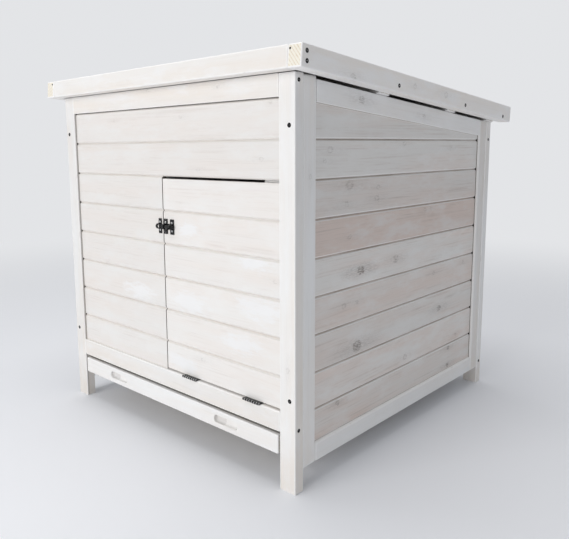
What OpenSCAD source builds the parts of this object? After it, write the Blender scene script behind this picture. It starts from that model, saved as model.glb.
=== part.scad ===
// Timber nest box on four legs: framed board walls, a lean-to roof,
// a drop-down door with butt hinges and a barrel bolt, and a pull-out tray.
// Millimetres, +Z up, the door faces -Y, origin under the middle of the roof.

/* [Overall] */
// Width over the legs
width = 598; // [520:1:680]
// Depth over the legs
depth = 630; // [560:1:700]
// Height of the roof's top edge at the front
front_h = 645; // [620:1:700]
// Pitch of the roof in degrees, falling from front to back
roof_pitch = 4.6; // [2:0.1:7]

/* [Frame strips] */
// Wide side of a frame strip
strip_w = 30; // [24:1:36]
// Narrow side of a frame strip
strip_t = 19; // [17:0.5:24]
// Height of the rails in the side and back panels
rail_h = 31; // [24:0.5:36]
// Height of the side panels' lower edge above the ground
skirt_z = 35; // [20:1:50]
// Set-back of the side panels behind the legs' outer faces
panel_inset = 1; // [0:0.5:3]
// Depth of the slot in the frame that houses the board ends
housing = 8; // [5:0.5:10]
// Ease of a strip's long edges
arris = 1.5; // [0.5:0.25:2.5]

/* [Boards] */
// Thickness of the wall, door and roof boards
board_t = 10; // [8:0.5:11]
// Height of one board, from joint to joint
board_pitch = 58; // [50:1:66]
// Height of the lowest board joint
first_joint_z = 117; // [105:1:122]
// Set-back of the boards behind the frame's outer face
board_recess = 5; // [3:0.5:6]
// Width of the V groove at each joint
groove_w = 6; // [3:0.5:8]

/* [Door] */
// Boards in the door's height
door_boards_count = 6; // [4:1:7]
// Gap over the closed door
door_top_gap = 6.5; // [5:0.5:9]
// Gap at each side of the closed door
door_side_gap = 2; // [1:0.5:4]
// Trim of the boards over the doorway, above their joint
head_trim = 2.5; // [1:0.5:4]
// Thickness of the two battens on the door's inner side
door_batten_t = 12; // [8:1:18]
// Gap between the closed door and the stop behind it
stop_clear = 0.5; // [0.3:0.1:1.5]
// Distance from the door's right edge to the stop's near edge
stop_inset = 10; // [5:1:20]

/* [Hinges] */
// Length of a hinge
hinge_len = 35; // [28:1:50]
// Radius of the hinge knuckles
knuckle_r = 2; // [1.8:0.1:4]
// Thickness of a hinge leaf
leaf_t = 1; // [0.8:0.1:1.4]
// Gap between the rail and the door, which holds both leaves
hinge_gap = 2.4; // [2.2:0.1:4]
// Distance of the left hinge's middle from the door's left edge
hinge_left_in = 66; // [50:1:80]
// Distance of the right hinge's middle from the door's right edge
hinge_right_in = 55; // [45:1:70]

/* [Bolt] */
// Height of the bolt's axis above the ground
bolt_z = 379.5; // [300:0.5:430]
// Length of the bolt's plate on the door
bolt_plate_w = 27; // [24:1:34]
// Height of the plate and the keeper
bolt_plate_h = 26; // [20:1:32]
// Radius of the bolt
bolt_r = 3; // [2:0.25:3.5]
// Width of the keeper's plate
keeper_w = 8; // [7:0.5:10]

/* [Tray] */
// Height of the tray's front
tray_front_h = 30.5; // [26:0.5:34]
// Gap between the tray's front and the rail above it
tray_top_gap = 6; // [5:0.5:9]
// Gap between the tray's front and each leg
tray_side_gap = 4; // [3:0.5:8]
// Gap between the tray's back and the back panel
tray_back_gap = 26; // [10:1:120]
// Height of the tray's sides
tray_side_h = 25; // [18:1:28]
// Thickness of the tray's sides and back
tray_side_t = 12; // [9:1:15]
// Thickness of the tray's bottom
tray_bottom_t = 4; // [3:0.5:6]
// Length of a finger groove
finger_len = 55; // [40:1:80]
// Height of a finger groove
finger_h = 13; // [10:0.5:18]
// Depth of a finger groove
finger_d = 7; // [5:0.5:9]
// Distance of each finger groove from the middle of the front
finger_x = 151; // [100:1:180]

/* [Roof] */
// Height of the boards round the roof's edge
fascia_h = 31; // [26:0.5:38]
// Thickness of the side fascias
side_fascia_t = 24; // [18:1:26]
// Thickness of the front fascia
front_fascia_t = 19; // [15:0.5:20]
// Overhang of the roof at each side
side_overhang = 29; // [28:1:36]
// Overhang of the roof at the front
front_overhang = 20; // [20:0.5:30]
// Overhang of the roof at the back
back_overhang = 28; // [20:1:40]
// Gap under the fascias, over the side panels
roof_gap = 2.5; // [2:0.5:6]
// Width of a roof batten
roof_batten_w = 30; // [24:1:40]

/* [Hidden] */
$fn = 48;

timber = "whitesmoke";
boards = "gainsboro";
ironwork = "#202020";

// Overrun of every cut past the face that it opens
over = 4;

// Heights and places of the roof's planes
roof_plan = front_overhang + depth + back_overhang;
roof_len = roof_plan / cos(roof_pitch);
roof_half_w = width / 2 + side_overhang;
roof_inner_half_w = roof_half_w - side_fascia_t;
roof_y = fascia_h * sin(roof_pitch) / 2;
roof_z = front_h - tan(roof_pitch) * roof_plan / 2;
batten_shares = [0.35, 0.69, 0.94];
roof_batten_h = fascia_h - board_t + roof_gap;

// Faces of the legs
half_w = width / 2;
front_y = roof_y - roof_plan / 2 + front_overhang;
back_y = front_y + depth;
leg_in_x = half_w - strip_w;
leg_front_in_y = front_y + strip_t;
leg_back_in_y = back_y - strip_t;
panel_out_x = half_w - panel_inset;
panel_in_x = panel_out_x - strip_t;

// Tops: the fascias' underside and the plane that the roof battens rest on
function fascia_z(y) = roof_z - tan(roof_pitch) * (y - roof_y) - fascia_h / cos(roof_pitch);
function seat_z(y) = fascia_z(y) - roof_gap / cos(roof_pitch);
seat_drop = -fascia_h - roof_gap;
leg_clear = 0.8;
leg_front_h = fascia_z(front_y) - leg_clear;
front_stile_h = fascia_z(leg_front_in_y) - leg_clear;

// Boards
groove_d = groove_w / 2;
joint_count = 9;
function joint_z(k) = first_joint_z + k * board_pitch;
joints = [for (k = [0 : joint_count - 1]) joint_z(k)];
front_board_y = front_y + board_recess;
back_board_y = back_y - board_recess;
side_board_x = panel_out_x - board_recess;

// Side and back panels: the side's top rail slopes, the back's is level
function side_rail_z(y) = seat_z(y) - rail_h / cos(roof_pitch);
side_y0 = leg_front_in_y + strip_w;
side_y1 = leg_back_in_y - strip_w;
side_board_z = skirt_z + rail_h - housing;
back_top_rail_z = seat_z(back_y) - rail_h;

// Tray and runners
tray_clear = 0.3;
runner_top = skirt_z + strip_t;
tray_z = runner_top + tray_clear;
tray_half_w = leg_in_x - tray_side_gap;
tray_back_y = leg_back_in_y - tray_back_gap;
tray_front_top = tray_z + tray_front_h;
tray_corner_r = 4;
finger_z = tray_z + tray_front_h / 2;

// Front frame
front_rail_z = tray_front_top + tray_top_gap;
front_rail_h = 32;
front_rail_top = front_rail_z + front_rail_h;
front_top_rail_h = 30.5;
front_top_rail_z = leg_front_h - front_top_rail_h;

// Doorway and door
door_x0 = 0;
wall_end_x = door_x0 - door_side_gap;
door_x1 = leg_in_x - door_side_gap;
door_z0 = front_rail_top + hinge_gap;
head_joint_z = joint_z(door_boards_count);
head_z = head_joint_z + head_trim;
door_z1 = head_z - door_top_gap;
door_in_y = front_board_y + board_t;
door_batten_end = 12;
door_batten_left_in = 20;
stop_x1 = door_x1 - stop_inset;
stop_x0 = stop_x1 - strip_w;
door_batten_right_gap = 18;
door_batten_xs = [door_x0 + door_batten_left_in, stop_x0 - door_batten_right_gap - strip_w];

// Hinges
knuckle_count = 7;
knuckle_gap = 0.2;
knuckle_clear = 0.4;
pin_r = knuckle_r / 2;
pin_clear = 0.05;
hinge_y = front_y - knuckle_r - knuckle_clear;
hinge_z = front_rail_top + hinge_gap / 2;
leaf_y1 = door_in_y;
hinge_xs = [door_x0 + hinge_left_in, door_x1 - hinge_right_in];
knuckle_pitch = hinge_len / knuckle_count;

// Bolt: drawn back at rest, the tip level with the door's edge
bolt_plate_t = 1.5;
bolt_clear = 0.3;
bolt_band_t = 1.5;
bolt_band_w = 4;
bolt_edge = 1;
bolt_y = front_board_y - bolt_plate_t - bolt_r - bolt_clear;
bolt_plate_x0 = door_x0 + bolt_edge;
bolt_plate_x1 = bolt_plate_x0 + bolt_plate_w;
bolt_knob_r = 2.5;
bolt_knob_h = 12;
bolt_knob_gap = 0.5;
bolt_knob_x = bolt_plate_x1 - bolt_edge - bolt_band_w - bolt_knob_gap - bolt_knob_r;
bolt_knob_tilt = 35;
keeper_edge = 3;
keeper_x1 = wall_end_x - keeper_edge;
keeper_band_w = 5;

// Shared shapes

// A box between its lowest and highest corners
module block(lo, hi) {
    translate(lo) cube(hi - lo);
}

// A prism along X whose outline is given in Y and Z
module prism_x(x0, length, points) {
    translate([x0, 0, 0]) rotate([90, 0, 90]) linear_extrude(length) polygon(points);
}

// A prism along Y whose outline is given in X and Z
module prism_y(y0, length, points) {
    translate([0, y0 + length, 0]) rotate([90, 0, 0]) linear_extrude(length) polygon(points);
}

// Outline of a V groove cut into a face, with the solid on the inward side
function v_outline(face, z, inward) = [
    [face - inward * over, z - groove_d - over],
    [face - inward * over, z + groove_d + over],
    [face + inward * groove_d, z]
];

// Outline of a strip's cross-section, with its long edges eased
function eased(a0, b0, a1, b1) = [
    [a0 + arris, b0], [a1 - arris, b0], [a1, b0 + arris], [a1, b1 - arris],
    [a1 - arris, b1], [a0 + arris, b1], [a0, b1 - arris], [a0, b0 + arris]
];

// An upright strip between its lowest and highest corners
module upright(lo, hi) {
    translate([0, 0, lo.z]) linear_extrude(hi.z - lo.z) polygon(eased(lo.x, lo.y, hi.x, hi.y));
}

// A level strip along X between its lowest and highest corners
module strip_x(lo, hi) {
    prism_x(lo.x, hi.x - lo.x, eased(lo.y, lo.z, hi.y, hi.z));
}

// A level strip along Y between its lowest and highest corners
module strip_y(lo, hi) {
    prism_y(lo.y, hi.y - lo.y, eased(lo.x, lo.z, hi.x, hi.z));
}

// Strips cut to the plane that the roof battens rest on, between two depths
module cut_to_seat(y0, y1) {
    difference() {
        children();
        prism_x(-roof_half_w, 2 * roof_half_w, [
            [y0 - over, seat_z(y0 - over)], [y1 + over, seat_z(y1 + over)],
            [y1 + over, front_h + over], [y0 - over, front_h + over]
        ]);
    }
}

// The roof's own frame: X across, Y down the slope, Z out of its top face
module placed_roof() {
    translate([0, roof_y, roof_z]) rotate([-roof_pitch, 0, 0]) children();
}

// The left-hand twin of a right-hand piece
module left_twin() {
    mirror([1, 0, 0]) children();
}

// Front boards between two ends and two heights, grooved at each joint
module front_field(x0, x1, z0, z1) {
    difference() {
        block([x0, front_board_y, z0], [x1, door_in_y, z1]);
        for (z = joints)
            if (z >= z0 && z <= z1)
                prism_x(x0 - over, x1 - x0 + 2 * over, v_outline(front_board_y, z, 1));
    }
}

// Legs

// A right-hand front leg, slotted for the boards between two heights
module front_leg(slot_z0) {
    difference() {
        upright([leg_in_x, front_y, 0], [half_w, leg_front_in_y, leg_front_h]);
        block([leg_in_x - over, front_board_y, slot_z0],
              [leg_in_x + housing, door_in_y, front_top_rail_z + housing]);
    }
}

module back_leg() {
    difference() {
        cut_to_seat(leg_back_in_y, back_y)
            upright([leg_in_x, leg_back_in_y, 0], [half_w, back_y, front_h]);
        block([leg_in_x - over, back_board_y - board_t, skirt_z + rail_h - housing],
              [leg_in_x + housing, back_board_y, back_top_rail_z + housing]);
    }
}

module leg_front_left() {
    color(timber) left_twin() front_leg(front_rail_top - housing);
}

module leg_front_right() {
    color(timber) front_leg(head_z);
}

module leg_back_left() {
    color(timber) left_twin() back_leg();
}

module leg_back_right() {
    color(timber) back_leg();
}

// Front panel

module front_top_rail() {
    color(timber) difference() {
        strip_x([-leg_in_x, front_y, front_top_rail_z], [leg_in_x, leg_front_in_y, leg_front_h]);
        block([-leg_in_x - over, front_board_y, front_top_rail_z - over],
              [leg_in_x + over, door_in_y, front_top_rail_z + housing]);
    }
}

module front_bottom_rail() {
    color(timber) difference() {
        strip_x([-leg_in_x, front_y, front_rail_z], [leg_in_x, leg_front_in_y, front_rail_top]);
        block([-leg_in_x - over, front_board_y, front_rail_top - housing],
              [wall_end_x, door_in_y, front_rail_top + over]);
    }
}

module front_boards_upper() {
    color(boards) difference() {
        front_field(-leg_in_x - housing, leg_in_x + housing, head_joint_z, front_top_rail_z + housing);
        block([wall_end_x, front_board_y - over, head_joint_z - over],
              [leg_in_x + housing + over, door_in_y + over, head_z]);
    }
}

module front_boards_left() {
    color(boards) front_field(-leg_in_x - housing, wall_end_x, front_rail_top - housing, head_joint_z);
}

// Upright behind the boards' cut ends, beside the doorway
module door_mullion() {
    color(timber)
        upright([wall_end_x - strip_w, door_in_y, front_rail_top],
                [wall_end_x, door_in_y + strip_t, front_top_rail_z]);
}

// Upright that the closed door meets
module door_stop() {
    color(timber)
        upright([stop_x0, door_in_y + stop_clear, front_rail_top],
                [stop_x1, door_in_y + stop_clear + strip_t, front_top_rail_z]);
}

// Door

module door_boards() {
    color(boards) front_field(door_x0, door_x1, door_z0, door_z1);
}

module door_battens() {
    color(timber)
        for (x = door_batten_xs)
            upright([x, door_in_y, door_z0 + door_batten_end],
                    [x + strip_w, door_in_y + door_batten_t, door_z1 - door_batten_end]);
}

// One hinge leaf: a plate with every second knuckle, bored for the pin
module hinge_leaf(x, plate_z, first) {
    x0 = x - hinge_len / 2;
    difference() {
        union() {
            block([x0, front_y, plate_z], [x0 + hinge_len, leaf_y1, plate_z + leaf_t]);
            for (k = [first : 2 : knuckle_count - 1]) {
                k0 = x0 + k * knuckle_pitch + knuckle_gap / 2;
                k1 = k0 + knuckle_pitch - knuckle_gap;
                translate([k0, hinge_y, hinge_z]) rotate([0, 90, 0]) cylinder(r = knuckle_r, h = k1 - k0);
                block([k0, hinge_y, plate_z], [k1, front_y + leaf_t, plate_z + leaf_t]);
            }
        }
        translate([x0 - over, hinge_y, hinge_z]) rotate([0, 90, 0])
            cylinder(r = pin_r + pin_clear, h = hinge_len + 2 * over);
    }
}

module hinge_rail_leaves() {
    color(ironwork) for (x = hinge_xs) hinge_leaf(x, front_rail_top, 0);
}

module hinge_door_leaves() {
    color(ironwork) for (x = hinge_xs) hinge_leaf(x, door_z0 - leaf_t, 1);
}

module hinge_pins() {
    color(ironwork)
        for (x = hinge_xs)
            translate([x - hinge_len / 2, hinge_y, hinge_z]) rotate([0, 90, 0])
                cylinder(r = pin_r, h = hinge_len);
}

// Bolt

// A strap over the bolt: a round outside, straight legs down to the plate
module bolt_strap(x0, length) {
    outer_r = bolt_r + bolt_clear + bolt_band_t;
    translate([x0, bolt_y, bolt_z]) rotate([0, 90, 0]) cylinder(r = outer_r, h = length);
    block([x0, bolt_y, bolt_z - outer_r], [x0 + length, front_board_y - bolt_plate_t, bolt_z + outer_r]);
}

// A plate on the boards' face with straps, bored for the bolt
module strapped_plate(x0, x1, strap_x0s, strap_w) {
    difference() {
        union() {
            block([x0, front_board_y - bolt_plate_t, bolt_z - bolt_plate_h / 2],
                  [x1, front_board_y, bolt_z + bolt_plate_h / 2]);
            for (x = strap_x0s) bolt_strap(x, strap_w);
        }
        translate([x0 - over, bolt_y, bolt_z]) rotate([0, 90, 0])
            cylinder(r = bolt_r + bolt_clear, h = x1 - x0 + 2 * over);
    }
}

module bolt_plate() {
    straps = [bolt_plate_x0, bolt_plate_x1 - bolt_band_w];
    color(ironwork) strapped_plate(bolt_plate_x0, bolt_plate_x1, straps, bolt_band_w);
}

module bolt_keeper() {
    strap_x = keeper_x1 - keeper_w / 2 - keeper_band_w / 2;
    color(ironwork) strapped_plate(keeper_x1 - keeper_w, keeper_x1, [strap_x], keeper_band_w);
}

module bolt_bar() {
    color(ironwork) union() {
        translate([door_x0, bolt_y, bolt_z]) rotate([0, 90, 0])
            cylinder(r = bolt_r, h = bolt_plate_x1 + bolt_edge - door_x0);
        translate([bolt_knob_x, bolt_y, bolt_z]) rotate([90 + bolt_knob_tilt, 0, 0])
            cylinder(r = bolt_knob_r, h = bolt_knob_h);
    }
}

// Side panels, drawn on the right

// The space that the boards fill between two depths, housings included
module side_slot(y0, y1) {
    prism_x(side_board_x - board_t, board_t, [
        [y0, side_board_z], [y1, side_board_z],
        [y1, side_rail_z(y1) + housing], [y0, side_rail_z(y0) + housing]
    ]);
}

module side_front_stile() {
    difference() {
        upright([panel_in_x, leg_front_in_y, skirt_z], [panel_out_x, side_y0, front_stile_h]);
        side_slot(side_y0 - housing, side_y0 + over);
    }
}

module side_back_stile() {
    difference() {
        cut_to_seat(side_y1, leg_back_in_y)
            upright([panel_in_x, side_y1, skirt_z], [panel_out_x, leg_back_in_y, front_h]);
        side_slot(side_y1 - over, side_y1 + housing);
    }
}

module side_top_rail() {
    difference() {
        intersection() {
            placed_roof()
                strip_y([panel_in_x, -roof_len / 2, seat_drop - rail_h], [panel_out_x, roof_len / 2, seat_drop]);
            block([panel_in_x - over, side_y0, skirt_z], [panel_out_x + over, side_y1, front_h]);
        }
        prism_x(side_board_x - board_t, board_t, [
            [side_y0 - over, side_rail_z(side_y0 - over) - over],
            [side_y1 + over, side_rail_z(side_y1 + over) - over],
            [side_y1 + over, side_rail_z(side_y1 + over) + housing],
            [side_y0 - over, side_rail_z(side_y0 - over) + housing]
        ]);
    }
}

module side_bottom_rail() {
    difference() {
        strip_y([panel_in_x, side_y0, skirt_z], [panel_out_x, side_y1, skirt_z + rail_h]);
        block([side_board_x - board_t, side_y0 - over, side_board_z],
              [side_board_x, side_y1 + over, skirt_z + rail_h + over]);
    }
}

module side_boards() {
    y0 = side_y0 - housing;
    y1 = side_y1 + housing;
    difference() {
        side_slot(y0, y1);
        for (z = joints)
            prism_y(y0 - over, y1 - y0 + 2 * over, v_outline(side_board_x, z, -1));
    }
}

module side_left_front_stile() { color(timber) left_twin() side_front_stile(); }
module side_left_back_stile() { color(timber) left_twin() side_back_stile(); }
module side_left_top_rail() { color(timber) left_twin() side_top_rail(); }
module side_left_bottom_rail() { color(timber) left_twin() side_bottom_rail(); }
module side_left_boards() { color(boards) left_twin() side_boards(); }
module side_right_front_stile() { color(timber) side_front_stile(); }
module side_right_back_stile() { color(timber) side_back_stile(); }
module side_right_top_rail() { color(timber) side_top_rail(); }
module side_right_bottom_rail() { color(timber) side_bottom_rail(); }
module side_right_boards() { color(boards) side_boards(); }

// Back panel

module back_top_rail() {
    color(timber) difference() {
        cut_to_seat(leg_back_in_y, back_y)
            strip_x([-leg_in_x, leg_back_in_y, back_top_rail_z], [leg_in_x, back_y, front_h]);
        block([-leg_in_x - over, back_board_y - board_t, back_top_rail_z - over],
              [leg_in_x + over, back_board_y, back_top_rail_z + housing]);
    }
}

module back_bottom_rail() {
    color(timber) difference() {
        strip_x([-leg_in_x, leg_back_in_y, skirt_z], [leg_in_x, back_y, skirt_z + rail_h]);
        block([-leg_in_x - over, back_board_y - board_t, skirt_z + rail_h - housing],
              [leg_in_x + over, back_board_y, skirt_z + rail_h + over]);
    }
}

module back_boards() {
    x1 = leg_in_x + housing;
    color(boards) difference() {
        block([-x1, back_board_y - board_t, skirt_z + rail_h - housing],
              [x1, back_board_y, back_top_rail_z + housing]);
        for (z = joints)
            prism_x(-x1 - over, 2 * (x1 + over), v_outline(back_board_y, z, -1));
    }
}

// Tray

// An oblong finger groove, cut into the front face
module finger_groove(x) {
    end_x = finger_len / 2 - finger_h / 2;
    block([x - end_x, front_y - over, finger_z - finger_h / 2],
          [x + end_x, front_y + finger_d, finger_z + finger_h / 2]);
    for (side = [-1, 1])
        translate([x + side * end_x, front_y + finger_d, finger_z]) rotate([90, 0, 0])
            cylinder(r = finger_h / 2, h = finger_d + over);
}

module tray_front() {
    inner_w = tray_half_w - tray_corner_r;
    color(timber) difference() {
        translate([0, front_y, tray_z]) linear_extrude(tray_front_h) union() {
            translate([-inner_w, 0]) square([2 * inner_w, strip_t]);
            translate([-tray_half_w, tray_corner_r])
                square([2 * tray_half_w, strip_t - tray_corner_r]);
            for (side = [-1, 1]) translate([side * inner_w, tray_corner_r]) circle(r = tray_corner_r);
        }
        for (side = [-1, 1]) finger_groove(side * finger_x);
    }
}

module tray_sides() {
    color(timber)
        for (x0 = [-tray_half_w, tray_half_w - tray_side_t])
            block([x0, leg_front_in_y, tray_z], [x0 + tray_side_t, tray_back_y, tray_z + tray_side_h]);
}

module tray_back() {
    inner_w = tray_half_w - tray_side_t;
    color(timber)
        block([-inner_w, tray_back_y - tray_side_t, tray_z], [inner_w, tray_back_y, tray_z + tray_side_h]);
}

module tray_bottom() {
    inner_w = tray_half_w - tray_side_t;
    color(boards)
        block([-inner_w, leg_front_in_y, tray_z],
              [inner_w, tray_back_y - tray_side_t, tray_z + tray_bottom_t]);
}

// Runners along the side panels, which carry the tray's sides
module tray_runners() {
    color(timber)
        for (x0 = [-panel_in_x, panel_in_x - strip_w])
            block([x0, leg_front_in_y, skirt_z], [x0 + strip_w, leg_back_in_y, runner_top]);
}

// Roof, drawn level in its own frame and then pitched

module side_fascia() {
    placed_roof()
        strip_y([roof_inner_half_w, -roof_len / 2, -fascia_h], [roof_half_w, roof_len / 2, 0]);
}

module roof_front_fascia() {
    color(timber) placed_roof()
        strip_x([-roof_inner_half_w, -roof_len / 2, -fascia_h],
                [roof_inner_half_w, -roof_len / 2 + front_fascia_t, 0]);
}

module roof_left_fascia() {
    color(timber) left_twin() side_fascia();
}

module roof_right_fascia() {
    color(timber) side_fascia();
}

module roof_battens() {
    color(timber) placed_roof()
        for (share = batten_shares) {
            y = (share - 0.5) * roof_len;
            block([-roof_inner_half_w, y - roof_batten_w / 2, -board_t - roof_batten_h],
                  [roof_inner_half_w, y + roof_batten_w / 2, -board_t]);
        }
}

module roof_boards() {
    joint_pairs = floor(roof_inner_half_w / board_pitch);
    y0 = -roof_len / 2 + front_fascia_t;
    color(boards) placed_roof() difference() {
        block([-roof_inner_half_w, y0, -board_t], [roof_inner_half_w, roof_len / 2, 0]);
        for (k = [-joint_pairs : joint_pairs - 1])
            translate([(k + 0.5) * board_pitch, 0, 0])
                prism_y(y0 - over, roof_len + 2 * over,
                        [[-groove_d - over, over], [groove_d + over, over], [0, -groove_d]]);
    }
}

leg_front_left();
leg_front_right();
leg_back_left();
leg_back_right();
front_top_rail();
front_bottom_rail();
front_boards_upper();
front_boards_left();
door_mullion();
door_stop();
door_boards();
door_battens();
hinge_rail_leaves();
hinge_door_leaves();
hinge_pins();
bolt_plate();
bolt_bar();
bolt_keeper();
side_left_front_stile();
side_left_back_stile();
side_left_top_rail();
side_left_bottom_rail();
side_left_boards();
side_right_front_stile();
side_right_back_stile();
side_right_top_rail();
side_right_bottom_rail();
side_right_boards();
back_top_rail();
back_bottom_rail();
back_boards();
tray_front();
tray_sides();
tray_back();
tray_bottom();
tray_runners();
roof_front_fascia();
roof_left_fascia();
roof_right_fascia();
roof_battens();
roof_boards();
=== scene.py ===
"""Whitewashed nest box: boards, strips, tray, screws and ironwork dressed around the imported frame."""
import logging
import math
import random
from abc import ABC, abstractmethod
from dataclasses import dataclass, field, replace
from enum import Enum
from typing import ClassVar, Iterable, Optional, Self, Sequence, Union

import bmesh
import bpy
from bmesh.types import BMEdge, BMesh, BMFace, BMVert
from mathutils import Matrix, Vector


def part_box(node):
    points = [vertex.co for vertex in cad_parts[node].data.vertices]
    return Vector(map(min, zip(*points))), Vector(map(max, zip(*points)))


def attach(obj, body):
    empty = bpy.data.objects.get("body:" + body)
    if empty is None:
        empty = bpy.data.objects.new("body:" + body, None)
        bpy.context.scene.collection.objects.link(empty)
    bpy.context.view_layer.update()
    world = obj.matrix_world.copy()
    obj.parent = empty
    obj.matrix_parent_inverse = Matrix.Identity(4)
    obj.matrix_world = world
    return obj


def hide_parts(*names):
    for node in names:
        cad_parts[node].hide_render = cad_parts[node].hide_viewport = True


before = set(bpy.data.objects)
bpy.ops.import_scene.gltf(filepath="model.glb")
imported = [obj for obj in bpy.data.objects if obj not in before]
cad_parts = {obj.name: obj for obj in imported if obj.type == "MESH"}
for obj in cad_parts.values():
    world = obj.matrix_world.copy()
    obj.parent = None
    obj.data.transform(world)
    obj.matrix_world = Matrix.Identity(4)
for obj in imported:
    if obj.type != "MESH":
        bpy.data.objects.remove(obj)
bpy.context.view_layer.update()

LOG = logging.getLogger("nest_box")
MM = 0.001
TINY = 1e-5  # Lengths under this count as nothing, in metres.
WELD = 1e-7  # Points this close to a cutting plane lie on it.
SAME_WAY = 0.99  # Least cosine between two directions that count as one.
LIP = 0.0008  # Reach of the shade painted at a slot's mouth.
DEEP = 0.012  # Depth that stands for the painted shade inside a slot.
KNOT_LAYERS = ("knot_a", "knot_b", "knot_c", "knot_d")
DAUB_LAYERS = ("daub_a", "daub_b")
POINT_LAYERS = ("grain", "board", *KNOT_LAYERS, *DAUB_LAYERS)
FACE_LAYERS = ("end_grain", "worn", "soiled")
BOTH_SIDES = (-1.0, 1.0)

Triple = tuple[float, float, float]
Colour = Triple
Range = tuple[float, float]
Plane = tuple[Vector, Vector]
Material = bpy.types.Material
Socket = bpy.types.NodeSocket
Value = Union[Socket, float, Sequence[float]]


class Face(Enum):
    """A side of the box, by the way its boards run and the way across them, seen from outside."""

    FRONT = ((1, 0, 0), (0, 0, 1))
    RIGHT = ((0, 1, 0), (0, 0, 1))
    BACK = ((-1, 0, 0), (0, 0, 1))
    LEFT = ((0, -1, 0), (0, 0, 1))
    ROOF = ((0, 1, 0), (-1, 0, 0))

    @property
    def along(self) -> Vector:
        """The way the boards run, to the right as seen from outside."""
        return Vector(self.value[0])

    @property
    def across(self) -> Vector:
        """The way from one board to the next."""
        return Vector(self.value[1])

    @property
    def outward(self) -> Vector:
        """The way the face looks."""
        return self.along.cross(self.across)

    def placing(self, plane: float) -> Matrix:
        """The matrix from board space (along, across, inwards) to a plane so far out."""
        basis = Matrix((self.along, self.across, -self.outward)).transposed()
        return Matrix.Translation(self.outward * plane) @ basis.to_4x4()


class Body(Enum):
    """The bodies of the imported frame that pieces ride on."""

    CARCASS = "carcass"
    DOOR = "door"
    TRAY = "tray"


class Slot(Enum):
    """The record's material slots."""

    FRAME = "frame_timber"
    BOARDS = "board_timber"
    TRAY = "tray_ply"
    IRON = "black_iron"


@dataclass(frozen=True)
class Mark:
    """A knot or a daub of paint on a board.

    Attributes:
        along: Place along the face, in mm.
        across: Place across the boards, in mm.
        radius: Radius, in mm.
        vigour: How strongly it shows, from 0 to about 1.
    """

    along: float
    across: float
    radius: float
    vigour: float = 0.5

    def vector(self) -> Vector:
        """The mark in metres; its third number is the vigour in whole tenths plus the radius."""
        return Vector((self.along * MM, self.across * MM, round(self.vigour * 10) + self.radius * MM))


@dataclass(frozen=True)
class Tone:
    """How one board's paint differs from the next.

    Attributes:
        warmth: From -1, cool grey, to 1, pink beige, or more.
        value: From -1, dull, to 1, bright, or more.
    """

    warmth: float = 0.0
    value: float = 0.0

    def vector(self) -> Vector:
        """The tone as a point carries it, before its depth in a joint."""
        return Vector((self.warmth, self.value, 0.0))


@dataclass(frozen=True)
class Paint:
    """What one strip or board shows of its own.

    Attributes:
        seed: Words that fix its grain.
        tone: Its paint.
        knots: Its knots.
        daubs: Daubs of thick paint on it.
    """

    seed: str
    tone: Tone = Tone()
    knots: Sequence[Mark] = ()
    daubs: Sequence[Mark] = ()


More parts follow.
